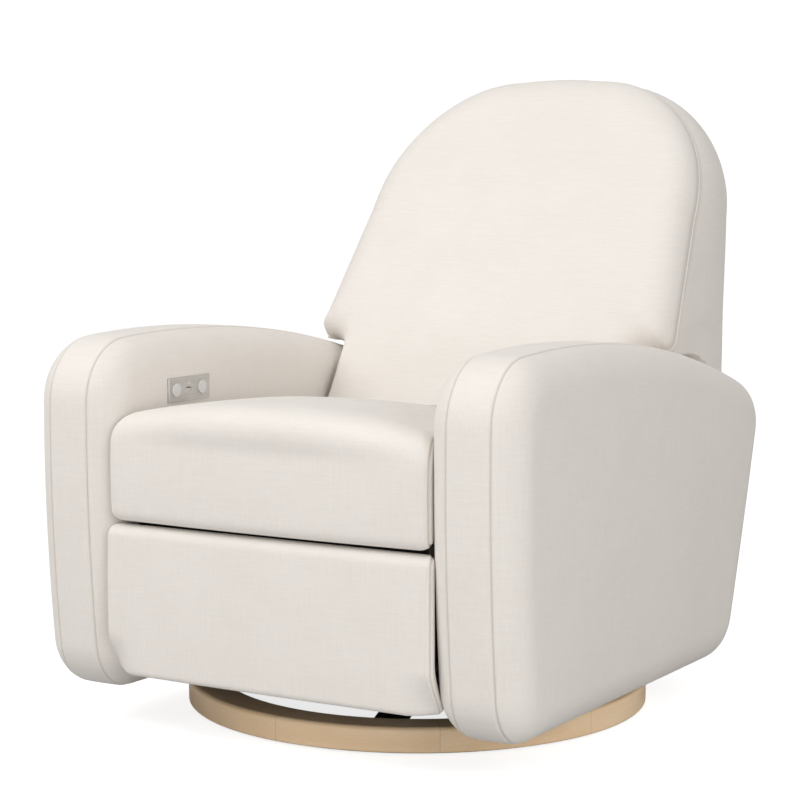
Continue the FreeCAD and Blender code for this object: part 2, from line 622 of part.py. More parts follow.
def arch():
    """The front view of the back above the arms, as corners and bulges, from the right to the left."""
    radius = number("wing_arc_radius")
    arc_x, arc_z = number("wing_arc_x"), number("wing_arc_z")
    sag = radius * (1 - math.cos(math.pi / 4))
    corners = [(arc_x + radius, arc_z), (arc_x, arc_z + radius), (-arc_x, arc_z + radius),
               (-arc_x - radius, arc_z)]
    return number("wing_low_x"), corners, [sag, number("wing_crown"), sag, 0]


def back_prism(name, low_x, low_z):
    """The T-shaped front view as a prism along Y; wing_trims() slopes the undersides of its wings."""
    wing_x, corners, bulges = arch()
    wing_z = number("wing_front_z") - 120
    half = number(low_x)
    points = [(-half, low_z), (half, low_z), (half, wing_z), (wing_x, wing_z)]
    points += corners
    points += [(-wing_x, wing_z), (-half, wing_z)]
    return padded(name, "XZ_Plane", points, -700, 800, [0, 0, 0, 0] + bulges + [0, 0])


# side profiles of the back, as (y, z), from the top down or from the bottom up
cushion_low_z = 447
cushion_face = ((470, 952), (400, 875), (171, 533), (132, 451))
shell_floor = ((318, 436), (312, 230))
shell_rear = ((372, 230), (452, 466), (480, 594), (530, 790), (562, 978))
# the wings' underside from the rear to the front: Y, and height from wing_front_z
wing_underside = ((449, -98), (422, -62), (392, -37), (362, -20), (335, -14), (270, -12), (214, 1), (100, 24))


def wing_trims(name, low_x, raised):
    """Pieces that cut the wings off along a line that keeps clear of the arms' tops as the back reclines."""
    corners = [(100, 380), (460, 380)]
    corners += [(place, number("wing_front_z") + drop + raised) for place, drop in wing_underside]
    trim = padded(name, "YZ_Plane", corners, low_x, 200)
    return trim, mirrored(trim)


def build_back():
    top = number("back_top_z") + 4
    low = cushion_low_z
    joint_gap = 1
    side = [(seam_at(low, -joint_gap), low), (seam_at(top, -joint_gap), top), *cushion_face]
    half = number("wing_low_x") + 80
    cushion_side = padded("cushion_side", "YZ_Plane", side, -half, 2 * half)
    cushion_front = back_prism("cushion_front", cushion_x, 400)
    whole = common("back_cushion_common", cushion_side, cushion_front)
    node("back_cushion", cut("back_cushion_cut", whole, *wing_trims("cushion_trim", cushion_x, 0)))
    side = [(seam_at(low), low), *shell_floor, *shell_rear, (seam_at(top), top)]
    shell_side = padded("shell_side", "YZ_Plane", side, -half, 2 * half)
    whole = common("back_shell_common", shell_side, back_prism("shell_front", "shell_low_x", 200))
    wall = number("shell_wall")
    cavity_top = number("post_top_z + 15")
    inner = [(seam_at(low + wall, wall), low + wall)]
    inner += [(y + wall, z + wall) for y, z in shell_floor]
    inner += [(shell_rear[0][0] - wall, shell_rear[0][1] + wall)]
    inner += [(y - wall, z) for y, z in shell_rear[1:4]]
    inner += [(shell_rear[3][0] + wall / 4, cavity_top), (seam_at(cavity_top, wall), cavity_top)]
    cavity_side = padded("cavity_side", "YZ_Plane", inner, -half, 2 * half)
    cavity_front = box("cavity_front", ("-shell_low_x + shell_wall", "shell_low_x - shell_wall"),
                       ("0", "700"), ("shell_low_z", "post_top_z + 15"))
    cavity = common("shell_cavity", cavity_side, cavity_front)
    node("back_shell", cut("back_shell_cut", whole, cavity, *wing_trims("shell_trim", "shell_low_x", 2)))
    outer_x = "shell_low_x - shell_wall - side_gap"
    low, high = number("post_low_z"), number("post_top_z")
    offset, thick = number("post_offset"), number("post_thickness")
    corners = [(seam_at(low, offset), low), (seam_at(low, offset + thick), low),
               (seam_at(high, offset + thick), high), (seam_at(high, offset), high)]
    post = padded("back_post_body", "YZ_Plane", corners, f"{outer_x} - post_thickness", "post_thickness")
    node("back_posts", post, mirrored(post))
    rails = []
    inner_x = number(f"{outer_x} - post_thickness")
    deep = number("rail_depth")
    starts = [low, (low + high - deep) / 2, high - deep]
    for index, base in enumerate(starts):
        corners = [(seam_at(base, offset), base), (seam_at(base, offset + thick), base),
                   (seam_at(base + deep, offset + thick), base + deep),
                   (seam_at(base + deep, offset), base + deep)]
        rails.append(padded(f"back_rail_{index}", "YZ_Plane", corners, -inner_x, 2 * inner_x))
    node("back_cross_rails", *rails)
    springs = []
    wire = number("spring_wire")
    inset = wire + 0.2
    for base in starts[:2]:
        room = starts[1] - starts[0] - deep
        for share in (0.3, 0.7):
            height = base + deep + room * share
            spring = sinuous(2 * (inner_x - inset), 34, 24, wire)
            spring.rotate(vector(), vector(0, 0, 1), -90)
            spring.rotate(vector(), vector(1, 0, 0), 90 - number("seam_lean"))
            spring.translate(vector(-inner_x + inset, seam_at(height, offset + 8), height))
            springs.append(spring)
    node("back_springs", shaped("back_springs_shape", Part.makeCompound(springs)))
    corners = [("recline_y - 15", "recline_z - 15"), ("recline_y + 18", "recline_z - 15"),
               ("recline_y + 30", "recline_z + 178"), ("recline_y + 24", "recline_z + 188"),
               ("recline_y - 12", "recline_z + 188"), ("recline_y - 46", "recline_z + 146"),
               ("recline_y - 15", "recline_z + 20")]
    plate = padded("back_bracket_plate", "YZ_Plane", corners, leg_x, "leg_thickness")
    span = (leg_x + " - 1", leg_x + " + leg_thickness + 1")
    levels = [number("bolt_low_z"), number("bolt_high_z")]
    places = [(seam_at(level, offset + thick / 2), level) for level in levels]
    holes = [x_hole(f"bracket_bolt_hole_{index}", place, span, "bolt_radius")
             for index, place in enumerate(places)]
    plate = cut("back_bracket_drilled", plate,
                x_hole("bracket_hinge_hole", ("recline_y", "recline_z"), span,
                       "hinge_pin_radius + running_fit"), *holes)
    node("back_brackets", plate, mirrored(plate))
    bolts = []
    for index, place in enumerate(places):
        shank = x_hole(f"bracket_bolt_{index}", place, ("shell_low_x - 24", leg_x + " + leg_thickness"),
                       "bolt_radius")
        head = x_hole(f"bracket_bolt_head_{index}", place,
                      (leg_x + " + leg_thickness", leg_x + " + leg_thickness + 3"), "bolt_radius + 3")
        bolt = fused(f"bracket_bolt_fused_{index}", shank, head)
        bolts += [bolt, mirrored(bolt)]
    node("back_bolts", *bolts)


# footrest linkage: places at rest, as (y, z); forward is -Y
leg_x = "(seat_width/2 - side_gap - plate_thickness - 2*leg_layer_gap - 3 - leg_thickness)"
long_x = "(seat_width/2 - side_gap - plate_thickness - 3*leg_layer_gap - 3 - 2*leg_thickness)"
tilt_x = "(seat_width/2 - side_gap - plate_thickness - leg_layer_gap - 3)"
tilt_thickness = "3"


def along(place, angle, length):
    """A point at an angle above the forward direction."""
    turn = math.radians(angle)
    return place[0] - length * math.cos(turn), place[1] + length * math.sin(turn)


def build_footrest():
    angle, length = number("leg_angle"), number("leg_length")
    front_pivot = (number("leg_pivot_y"), number("leg_pivot_z"))
    rear_pivot = (front_pivot[0] + number("leg_spread_y"), front_pivot[1] + number("leg_spread_z"))
    front_knee = along(front_pivot, angle, length)
    rear_knee = along(rear_pivot, angle, length)
    board_pivot = (number("board_pivot_y"), number("board_pivot_z"))
    tilt_rear = along(along(front_pivot, angle, number("tilt_on_leg")), angle - 90, number("tilt_leg_offset"))
    tilt_front = (board_pivot[0] + number("tilt_on_board_y"), board_pivot[1] + number("tilt_on_board_z"))
    half = "leg_width/2"
    span = (leg_x + " - 1", leg_x + " + leg_thickness + 1")
    running = "pin_radius + running_fit"
    front = slot_bar("front_leg_bar", front_knee, front_pivot, leg_x, "leg_thickness", half)
    front = cut("front_leg_drilled", front,
                x_hole("front_leg_top_hole", front_pivot, span, running),
                x_hole("front_leg_knee_hole", front_knee, span, running))
    stud_span = (leg_x + " + leg_thickness - 1", tilt_x + f" + {tilt_thickness}")
    stud = x_hole("tilt_stud", tilt_rear, stud_span, "4")
    ear = x_hole("tilt_ear", tilt_rear, (leg_x, leg_x + " + leg_thickness"), "8")
    front = fused("front_leg_fused", front, ear, stud)
    node("footrest_front_links", front, mirrored(front))
    rear = slot_bar("rear_leg_bar", rear_knee, rear_pivot, leg_x, "leg_thickness", half)
    rear = cut("rear_leg_drilled", rear,
               x_hole("rear_leg_top_hole", rear_pivot, span, "shaft_radius"),
               x_hole("rear_leg_knee_hole", rear_knee, span, running + " + 0.2"))
    node("footrest_rear_links", rear, mirrored(rear))
    long_bar = fused("long_bar_fused",
                     slot_bar("long_bar_rear", rear_knee, front_knee, long_x, "leg_thickness", half),
                     slot_bar("long_bar_front", front_knee, board_pivot, long_x, "leg_thickness", half))
    long_span = (long_x + " + 1", leg_x + " + leg_thickness + 0.5")
    studs = [x_hole(f"long_stud_{k}", place, long_span, "pin_radius")
             for k, place in enumerate((rear_knee, front_knee, board_pivot))]
    long_bar = fused("long_bar_studded", long_bar, *studs)
    node("footrest_long_links", long_bar, mirrored(long_bar))
    tilt = slot_bar("tilt_bar", tilt_rear, tilt_front, tilt_x, tilt_thickness, "8")
    tilt_span = (tilt_x + " - 1", tilt_x + " + 5")
    tilt = cut("tilt_bar_drilled", tilt,
               x_hole("tilt_rear_hole", tilt_rear, tilt_span, "5.4"),
               x_hole("tilt_front_hole", tilt_front, tilt_span, "4 + running_fit"))
    node("footrest_tilt_links", tilt, mirrored(tilt))
    back = "board_back_y"
    corners = [(back, board_pivot[1] - 50), (back, board_pivot[1] + 75),
               (back + " + 16", board_pivot[1] + 62),
               (back + " + 30", board_pivot[1] + 40), (back + " + 30", board_pivot[1] - 16),
               (back + " + 16", board_pivot[1] - 40)]
    bracket = padded("board_bracket_plate", "YZ_Plane", corners, leg_x, "leg_thickness")
    bracket = cut("board_bracket_drilled", bracket, x_hole("board_bracket_hole", board_pivot, span, running))
    stud = x_hole("board_stud", tilt_front, stud_span, "4")
    flange = box("board_bracket_flange", (leg_x + " - 22", leg_x), (back, back + " + 4"),
                 (board_pivot[1] - 50, board_pivot[1] + 75))
    bracket = fused("board_bracket_fused", bracket, stud, flange)
    node("footrest_brackets", bracket, mirrored(bracket))
    front_face = "board_back_y - board_thickness"
    board = box("footrest_board_box", ("-" + cushion_x + " + 1", cushion_x + " - 1"), (front_face, back),
                ("pad_low_z + board_inset", "pad_top_z - board_inset"))
    node("footrest_board", board)
    pad_y = ("seat_front_y", front_face)
    body = padded("footrest_pad_body", "YZ_Plane",
                  [(pad_y[0], "pad_low_z"), (pad_y[1], "pad_low_z"), (pad_y[1], "pad_top_z"),
                   (pad_y[0], "pad_top_z")], "-" + cushion_x, "2*" + cushion_x)
    front_y = number("seat_front_y")
    rounded(body, "pad_round", lambda edge: abs(edge.CenterOfMass.y - front_y) < 1e-6)
    node("footrest_pad", body)
    return rear_pivot


def build_drive(rear_pivot):
    """Torque shaft with a slotted crank, and the linear actuator that pushes it."""
    shaft_end = "seat_width/2 - side_gap - 0.5"
    shaft = x_hole("drive_shaft_bar", rear_pivot, (f"-({shaft_end})", shaft_end), "shaft_radius")
    node("drive_shaft", shaft)
    tilt = number("actuator_tilt")
    swing = number("leg_turn")
    offset, travel = number("crank_offset"), number("actuator_travel")
    middle = along(rear_pivot, tilt - 90, offset)
    rest_pin = along(middle, tilt, -travel / 2)
    rest_angle = tilt - 90 - swing / 2
    reach = math.hypot(offset, travel / 2)
    slot_width = number("crank_slot")
    plates = []
    for side, start in (("right", -12), ("left", 8)):
        plate = slot_bar(f"crank_{side}", rear_pivot, along(rear_pivot, rest_angle, reach + 3), start, 4,
                         slot_width + 7)
        window = slot_bar(f"crank_window_{side}", along(rear_pivot, rest_angle, offset),
                          along(rear_pivot, rest_angle, reach), start - 1, 6, slot_width)
        bore = x_hole(f"crank_bore_{side}", rear_pivot, (start - 1, start + 5), "shaft_radius")
        plates.append(cut(f"crank_cut_{side}", plate, window, bore))
    node("drive_cranks", *plates)
    clevis_y = number("clevis_y")
    run = (clevis_y - middle[0]) / math.cos(math.radians(tilt))
    eye = along(middle, tilt, -run)
    heading = vector(0, -math.cos(math.radians(tilt)), math.sin(math.radians(tilt)))
    turn = FreeCAD.Rotation(vector(0, 0, 1), heading)

    def on_line(name, start, end, radius, aside=0):
        item = document.addObject("Part::Cylinder", name)
        item.setExpression("Radius", bound(as_text(radius)))
        item.setExpression("Height", bound(f"({as_text(end)}) - ({as_text(start)})"))
        base = vector(aside, eye[0], eye[1]) + heading * number(start)
        item.Placement = FreeCAD.Placement(base, turn)
        return item

    gear_start, gear_end, motor_end, lug_half = 40, 78, 190, 7
    tube = on_line("tube_outer", 2 * lug_half, "tube_length", "tube_radius")
    gear = on_line("gearbox_body", gear_start, gear_end, "motor_radius + 2", number("motor_radius + 4"))
    aside = number("tube_radius + motor_radius + 1")
    motor = on_line("motor_body", gear_end, motor_end, "motor_radius", aside)
    bridge = on_line("gearbox_bridge", gear_start, gear_end, "tube_radius + 6")
    lug = x_hole("actuator_lug", eye, (-lug_half, lug_half), 2 * lug_half)
    lug_hole = x_hole("actuator_lug_hole", eye, (-lug_half - 1, lug_half + 1), "pin_radius")
    bore = on_line("casing_bore", gear_start, "tube_length + 1", "rod_radius + 0.5")
    whole = fused("actuator_fused", tube, lug, gear, bridge, motor)
    node("actuator_casing", cut("actuator_casing", whole, lug_hole, bore))
    clevis = []
    root = ("rear_tube_y - tube_size/2 - 12", rail_z + " + tube_size/2 + 14")
    for side, start in (("right", -lug_half - 6), ("left", lug_half + 1)):
        ear = slot_bar(f"clevis_{side}", eye, root, start, 5, 12)
        bore = x_hole(f"clevis_bore_{side}", eye, (start - 1, start + 6), "pin_radius")
        clevis.append(cut(f"clevis_cut_{side}", ear, bore))
    node("actuator_clevis", *clevis)
    node("actuator_pin", x_hole("actuator_pin_bar", eye, (-15, 15), "pin_radius"))
    rod = on_line("rod_bar", 60, run - travel / 2, "rod_radius")
    head = x_hole("rod_head", rest_pin, (-6.5, 6.5), 11)
    cross = x_hole("rod_cross_pin", rest_pin, (-15, 15), "pin_radius")
    node("actuator_rod", fused("actuator_rod_fused", rod, head, cross))


def build_rear():
    """The rail that closes the chair behind, sloped like the arms' rear edges, with the power inlet."""
    def rear_edge(level):
        low = (number("arm_rear_low_y"), number("arm_rear_low_z"))
        slope = (number("arm_rear_top_y") - low[0]) / (number("arm_rear_top_z") - low[1])
        return low[0] + (level - low[1]) * slope - number("valance_inset")

    low, top = number("valance_low_z"), number("valance_top_z")
    thick = number("valance_thickness")
    corners = [(rear_edge(low) - thick, low), (rear_edge(low), low), (rear_edge(top), top),
               (rear_edge(top) - thick, top)]
    half = number(arm_x) - 1
    panel = padded("valance_panel", "YZ_Plane", corners, -half, 2 * half)
    level = low + number("inlet_rise")
    face = rear_edge(level)
    place = ("inlet_x", level)
    bore = cylinder("valance_bore", "y", place, (face - 60, face + 20), "inlet_radius")
    node("rear_valance", cut("valance_cut", panel, bore))
    body = cylinder("inlet_body", "y", place, (face - 30, face + 4), "inlet_radius")
    lip = cylinder("inlet_lip", "y", place, (face + 4, face + 6), "inlet_radius + 3")
    well = cylinder("inlet_well", "y", place, (face - 10, face + 7), "0.4*inlet_radius")
    pin = cylinder("inlet_pin", "y", place, (face - 11, face + 3), "0.13*inlet_radius")
    inlet = fused("inlet_fused", cut("inlet_cut", fused("inlet_solid", body, lip), well), pin)
    node("power_inlet", inlet)


build_base()
build_deck()
build_glide_links()
build_chair_frame()
build_arms()
build_controls()
build_seat()
build_back()
build_drive(build_footrest())
build_rear()
document.recompute()

for item in document.Objects:
    if {"Invalid", "Error"} & set(item.State):
        raise SystemExit(f"{item.Label} did not compute: {item.State}")
for name, item in nodes.items():
    if item.Shape.isNull() or not item.Shape.isValid() or not item.Shape.Solids:
        raise SystemExit(f"{name} has no valid solid")

os.makedirs("parts", exist_ok=True)
for name, item in nodes.items():
    item.Shape.exportStep(f"parts/{name}.step")
print(len(nodes), "nodes,", sum(len(item.Shape.Solids) for item in nodes.values()), "solids")
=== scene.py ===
# Powered glider chair: padded arms, seat and back on a turning wood ring.
import math
import bmesh
import bpy
import numpy as np
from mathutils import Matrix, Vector, noise
from mathutils.geometry import delaunay_2d_cdt


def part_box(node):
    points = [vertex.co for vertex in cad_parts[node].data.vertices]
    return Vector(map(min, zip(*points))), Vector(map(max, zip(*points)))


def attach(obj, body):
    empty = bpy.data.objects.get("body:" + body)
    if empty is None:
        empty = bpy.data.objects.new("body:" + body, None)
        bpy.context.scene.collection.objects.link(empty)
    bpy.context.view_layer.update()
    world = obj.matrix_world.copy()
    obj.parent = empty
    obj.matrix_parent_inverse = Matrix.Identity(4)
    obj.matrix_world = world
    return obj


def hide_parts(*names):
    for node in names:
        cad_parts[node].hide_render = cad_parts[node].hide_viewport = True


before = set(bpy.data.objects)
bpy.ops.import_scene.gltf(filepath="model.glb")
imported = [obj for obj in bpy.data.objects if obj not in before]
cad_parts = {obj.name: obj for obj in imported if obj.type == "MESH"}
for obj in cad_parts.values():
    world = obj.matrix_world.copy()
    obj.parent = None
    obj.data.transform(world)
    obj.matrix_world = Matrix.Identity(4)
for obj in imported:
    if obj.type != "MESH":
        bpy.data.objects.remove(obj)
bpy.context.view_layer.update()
scene = bpy.context.scene
mm = 0.001


# Small sums and mesh helpers

def ease(value):
    # a smooth step from 0 to 1
    value = np.clip(value, 0.0, 1.0)
    return value * value * (3.0 - 2.0 * value)


def softNoise(points, size, seed):
    # one smooth value from -1 to 1 for each point
    shift = Vector((seed * 3.7, seed * 1.3, seed * 7.9))
    return np.array([noise.noise(Vector(point) / size + shift) for point in points])


def strip(low, high, count):
    # the quads between two closed rows of points, given each row's first index
    return [(low + i, low + (i + 1) % count, high + (i + 1) % count, high + i) for i in range(count)]


def applyStack(item):
    # the result of the modifiers becomes the mesh itself
    result = bpy.data.meshes.new_from_object(item.evaluated_get(bpy.context.evaluated_depsgraph_get()))
    item.modifiers.clear()
    item.data = result


def newPiece(name, points, faces, material, seamShadeWeights=None):
    mesh = bpy.data.meshes.new(name)
    mesh.from_pydata([tuple(point) for point in points], [], [list(face) for face in faces])
    # the seam weights mark where shade is painted into the fabric colour along the seams
    if seamShadeWeights is not None:
        mark = mesh.attributes.new("seam", "FLOAT", "POINT")
        mark.data.foreach_set("value", np.asarray(seamShadeWeights, dtype=np.float32))
    work = bmesh.new()
    work.from_mesh(mesh)
    bmesh.ops.remove_doubles(work, verts=work.verts, dist=2e-6)
    bmesh.ops.dissolve_degenerate(work, dist=1e-7, edges=work.edges)
    bmesh.ops.recalc_face_normals(work, faces=work.faces)
    work.to_mesh(mesh)
    work.free()
    mesh.polygons.foreach_set("use_smooth", [True] * len(mesh.polygons))
    mesh.materials.append(material)
    item = bpy.data.objects.new(name, mesh)
    scene.collection.objects.link(item)
    return item


def fitPiece(item, body, nodes=()):
    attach(item, body)
    if nodes:
        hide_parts(*nodes)
    return item


def roundedOutline(corners, radii, bulges, step):
    # closed line through the corners: round corners, bulging sides, evenly spaced points
    corners = np.array(corners, dtype=float)
    count = len(corners)
    ends = np.roll(corners, -1, axis=0)
    area = 0.5 * sum(a[0] * b[1] - b[0] * a[1] for a, b in zip(corners, ends))
    if area < 0:
        corners = corners[::-1]
        radii = list(radii)[::-1]
        bulges = list(bulges)[::-1]
        bulges = bulges[1:] + bulges[:1]
    sides = []
    for i in range(count):
        start, end = corners[i], corners[(i + 1) % count]
        along = end - start
        length = np.linalg.norm(along)
        out = np.array([along[1], -along[0]]) / length
        sides.append((start, along, out, length, bulges[i]))

    def onSide(i, t):
        start, along, out, length, bulge = sides[i]
        return start + along * t + out * (4 * bulge * t * (1 - t))

    def slope(i, t):
        start, along, out, length, bulge = sides[i]
        line = along + out * (4 * bulge * (1 - 2 * t))
        return line / np.linalg.norm(line)

    trims = []
    for i in range(count):
        before, after = slope(i - 1, 1.0), slope(i, 0.0)
        turn = math.acos(max(-1.0, min(1.0, float(before @ after))))
        trims.append(radii[i] * math.tan(turn / 2))
    points = []
    for i in range(count):
        length = sides[i][3]
        low = trims[i] / length
        high = 1 - trims[(i + 1) % count] / length
        for t in np.linspace(low, high, max(2, int((high - low) * length / step) + 1)):
            points.append(onSide(i, t))
        follow = (i + 1) % count
        if trims[follow] > 0:
            first, last = onSide(i, high), onSide(follow, trims[follow] / sides[follow][3])
            headIn, headOut = slope(i, high), slope(follow, trims[follow] / sides[follow][3])
            turn = math.acos(max(-1.0, min(1.0, float(headIn @ headOut))))
            radius = np.linalg.norm(last - first) / (2 * math.sin(turn / 2) + 1e-9)
            reach = 4 / 3 * math.tan(turn / 4) * radius
            for t in np.linspace(0, 1, 18)[1:-1]:
                points.append(first * (1 - t) ** 3 + (first + headIn * reach) * 3 * t * (1 - t) ** 2
                              + (last - headOut * reach) * 3 * t * t * (1 - t) + last * t ** 3)
    return evenLoop(np.array(points), step)


def evenLoop(points, step):
    closed = np.vstack([points, points[:1]])
    lengths = np.concatenate([[0], np.cumsum(np.linalg.norm(np.diff(closed, axis=0), axis=1))])
    count = int(lengths[-1] / step)
    marks = np.linspace(0, lengths[-1], count, endpoint=False)
    return np.stack([np.interp(marks, lengths, closed[:, k]) for k in range(closed.shape[1])], axis=1)


def outwardNormals(loop):
    ahead, behind = np.roll(loop, -2, axis=0), np.roll(loop, 2, axis=0)
    line = ahead - behind
    line /= np.linalg.norm(line, axis=1)[:, None]
    return np.stack([line[:, 1], -line[:, 0]], axis=1)


# widths of a sewn seam's groove and of the puckered lips beside it
sewn = {"grooveWidth": 1.5 * mm, "lipAway": 4.2 * mm, "lipWidth": 2.6 * mm, "pucker": 0.55,
        "puckerLength": 0.011}


def bandedForm(name, loop, spec, crowns, material, reshape=None):
    # a form sewn from two side panels and one band that runs right round between them
    normals = outwardNormals(loop)
    low, high, radius = spec["low"], spec["high"], spec["radius"]
    middle, half = (low + high) / 2, (high - low) / 2
    seamAngle = math.radians(spec["seamAngle"])
    angles = set(np.linspace(-math.pi / 2, 0, 13))
    for away in (0, 0.45, 1.0, 1.7, 2.6, 3.8, 5.4):
        for side in (-1, 1):
            angles.add(min(0.0, max(-math.pi / 2, -seamAngle + side * away * mm / radius)))
    angles = sorted(angles)
    turnStart, turnEnd = middle - half + radius, middle + half - radius
    stations = [(turnStart + radius * math.sin(a), radius * (1 - math.cos(a)), a) for a in angles]
    flat = np.linspace(turnStart, turnEnd, spec["across"] + 1)[1:-1]
    stations += [(x, 0.0, 0.0) for x in flat]
    stations += [(2 * middle - x, inset, -a) for x, inset, a in stations[len(angles) - 1::-1]]
    points, seamShadeWeights, rows = [], [], []
    count = len(loop)
    lengths = np.arange(count) * np.linalg.norm(loop[1] - loop[0])
    for x, inset, angle in stations:
        away = (abs(angle) - seamAngle) * radius
        nearSeam = math.exp(-(away / sewn["grooveWidth"]) ** 2)
        lip = math.exp(-((abs(away) - sewn["lipAway"]) / sewn["lipWidth"]) ** 2)
        waves = [noise.noise(Vector((s / sewn["puckerLength"], x * 40, spec["seed"]))) for s in lengths]
        pucker = 1 + sewn["pucker"] * np.array(waves)
        sink = spec["groove"] * nearSeam - spec["lip"] * lip * pucker
        crown = crowns * (1 - np.abs((x - middle) / half) ** 2.4)
        depth = inset - crown + sink * math.cos(angle)
        side = np.full(count, x) + (sink if np.ndim(sink) else np.full(count, sink)) * -math.sin(angle)
        place = loop - normals * depth[:, None]
        rows.append(len(points))
        points += [(side[i], place[i][0], place[i][1]) for i in range(count)]
        # the seam's weight also sets how much shade is painted into the colour there
        seamShadeWeights += [nearSeam] * count
    faces = []
    for row in range(len(rows) - 1):
        faces += strip(rows[row], rows[row + 1], count)
    for first, sign, bulge in ((rows[0], -1, spec["lowCrown"]), (rows[-1], 1, spec["highCrown"])):
        ring = np.array(points[first:first + count])
        centre = ring.mean(axis=0)
        last = first
        for t in spec["panelRings"]:
            start = len(points)
            inner = ring + (centre - ring) * t
            inner[:, 0] = ring[:, 0] + sign * bulge * (1 - math.cos(math.pi * min(1, t * 1.25))) / 2
            points += [tuple(p) for p in inner]
            seamShadeWeights += [0.0] * count
            faces += strip(last, start, count)
            last = start
        tip = len(points)
        points.append((centre[0] + sign * bulge, centre[1], centre[2]))
        seamShadeWeights.append(0.0)
        faces += [(last + i, last + (i + 1) % count, tip) for i in range(count)]
    points = np.array(points)
    if reshape is not None:
        points = reshape(points)
    return newPiece(name, points, faces, material, seamShadeWeights)


def seamRow(loop, spec, crowns, side, shift, keep, lift, reshape=None):
    # a line on the form, beside its seam, for the thread to follow
    normals = outwardNormals(loop)
    radius = spec["radius"]
    middle, half = (spec["low"] + spec["high"]) / 2, (spec["high"] - spec["low"]) / 2
    angle = math.radians(spec["seamAngle"]) + shift / radius
    x = middle + side * (half - radius + radius * math.sin(angle))
    inset = radius * (1 - math.cos(angle))
    crown = crowns * (1 - abs((x - middle) / half) ** 2.4)
    place = loop - normals * (inset - crown - lift * math.cos(angle))[:, None]
    row = np.stack([np.full(len(loop), x + side * lift * math.sin(angle)), place[:, 0], place[:, 1]], axis=1)
    chosen = [i for i in range(len(loop)) if keep(loop[i])]
    breaks = [k for k in range(1, len(chosen)) if chosen[k] - chosen[k - 1] > 1]
    if breaks:
        chosen = chosen[breaks[0]:] + chosen[:breaks[0]]
    row = row[chosen]
    return row if reshape is None else reshape(row)


def panelPoints(loop, depths, grid):
    # points and triangles that fill a flat outline, closer together near its edge
    normals = outwardNormals(loop)
    starts, ends = loop, np.roll(loop, -1, axis=0)
    along = ends - starts
    square = (along ** 2).sum(axis=1)

    def distance(points):
        result = np.empty(len(points))
        for k in range(0, len(points), 400):
            part = points[k:k + 400]
            gap = part[:, None, :] - starts[None, :, :]
            t = np.clip((gap * along[None]).sum(axis=2) / square[None], 0, 1)
            result[k:k + 400] = np.linalg.norm(gap - along[None] * t[..., None], axis=2).min(axis=1)
        return result

    def inside(points):
        crossings = np.zeros(len(points), dtype=int)
        for (ax, ay), (bx, by) in zip(starts, ends):
            if ay == by:
                continue
            hit = ((points[:, 1] >= min(ay, by)) & (points[:, 1] < max(ay, by))
                   & (points[:, 0] < ax + (points[:, 1] - ay) * (bx - ax) / (by - ay)))
            crossings += hit
        return crossings % 2 == 1

    every = [loop]
    for depth in depths[1:]:
        ring = loop - normals * depth
        gap = distance(ring)
        ring = ring[(gap > depth * 0.985) & inside(ring)]
        every.append(ring[::1 if depth < 0.012 else 2])
    (lowX, lowY), (highX, highY) = loop.min(axis=0), loop.max(axis=0)
    columns = np.arange(lowX + grid / 2, highX, grid)
    lines = np.arange(lowY + grid / 2, highY, grid * 0.87)
    mesh = np.array([(x + (grid / 2 if k % 2 else 0), y) for k, y in enumerate(lines) for x in columns])
    mesh = mesh[inside(mesh)]
    mesh = mesh[distance(mesh) > depths[-1] + grid * 0.45]
    every.append(mesh)
    points = np.vstack(every)
    count = len(loop)
    result = delaunay_2d_cdt([Vector(p) for p in points], [], [list(range(count))], 1, 1e-9)
    flat = np.array([tuple(p) for p in result[0]])
    faces = [tuple(face) for face in result[2]]
    gap = distance(flat)
    gap[:count] = 0
    return flat, gap, faces, count


# Materials

class Finish:
    # a material under construction, with short calls for the nodes it needs
    def __init__(self, name, rough, metal=0.0):
        self.material = bpy.data.materials.new(name)
        self.material.use_nodes = True
        self.nodes = self.material.node_tree.nodes
        self.links = self.material.node_tree.links
        self.shader = self.nodes["Principled BSDF"]
        self.shader.inputs["Roughness"].default_value = rough
        self.shader.inputs["Metallic"].default_value = metal
        self.place = self.nodes.new("ShaderNodeTexCoord").outputs["Object"]

    def link(self, value, socket):
        if isinstance(value, bpy.types.NodeSocket):
            self.links.new(value, socket)
        else:
            socket.default_value = value

    def sum(self, kind, *values):
        node = self.nodes.new("ShaderNodeMath")
        node.operation = kind
        for k, value in enumerate(values):
            self.link(value, node.inputs[k])
        return node.outputs[0]

    def stretch(self, scale, turn=(0, 0, 0), source=None):
        node = self.nodes.new("ShaderNodeMapping")
        self.link(source or self.place, node.inputs["Vector"])
        node.inputs["Scale"].default_value = scale
        node.inputs["Rotation"].default_value = turn
        return node.outputs[0]

    def grainNoise(self, scale, source=None, detail=3.0, roughness=0.5):
        node = self.nodes.new("ShaderNodeTexNoise")
        self.link(source or self.place, node.inputs["Vector"])
        node.inputs["Scale"].default_value = scale
        node.inputs["Detail"].default_value = detail
        node.inputs["Roughness"].default_value = roughness
        return node.outputs["Fac"]

    def span(self, value, low, high, toLow=0.0, toHigh=1.0):
        node = self.nodes.new("ShaderNodeMapRange")
        for k, part in enumerate((value, low, high, toLow, toHigh)):
            self.link(part, node.inputs[k])
        return node.outputs[0]

    def blend(self, amount, first, second, kind="MIX"):
        node = self.nodes.new("ShaderNodeMix")
        node.data_type = "RGBA"
        node.blend_type = kind
        self.link(amount, node.inputs["Factor"])
        self.link(first, node.inputs[6])
        self.link(second, node.inputs[7])
        return node.outputs[2]

    def bump(self, height, strength, distance):
        node = self.nodes.new("ShaderNodeBump")
        node.inputs["Strength"].default_value = strength
        node.inputs["Distance"].default_value = distance
        self.link(height, node.inputs["Height"])
        self.links.new(node.outputs[0], self.shader.inputs["Normal"])

    def paint(self, colour, rough=None):
        self.link(colour, self.shader.inputs["Base Color"])
        if rough is not None:
            self.link(rough, self.shader.inputs["Roughness"])
        return self.material


def colour(red, green, blue):
    return (red, green, blue, 1.0)
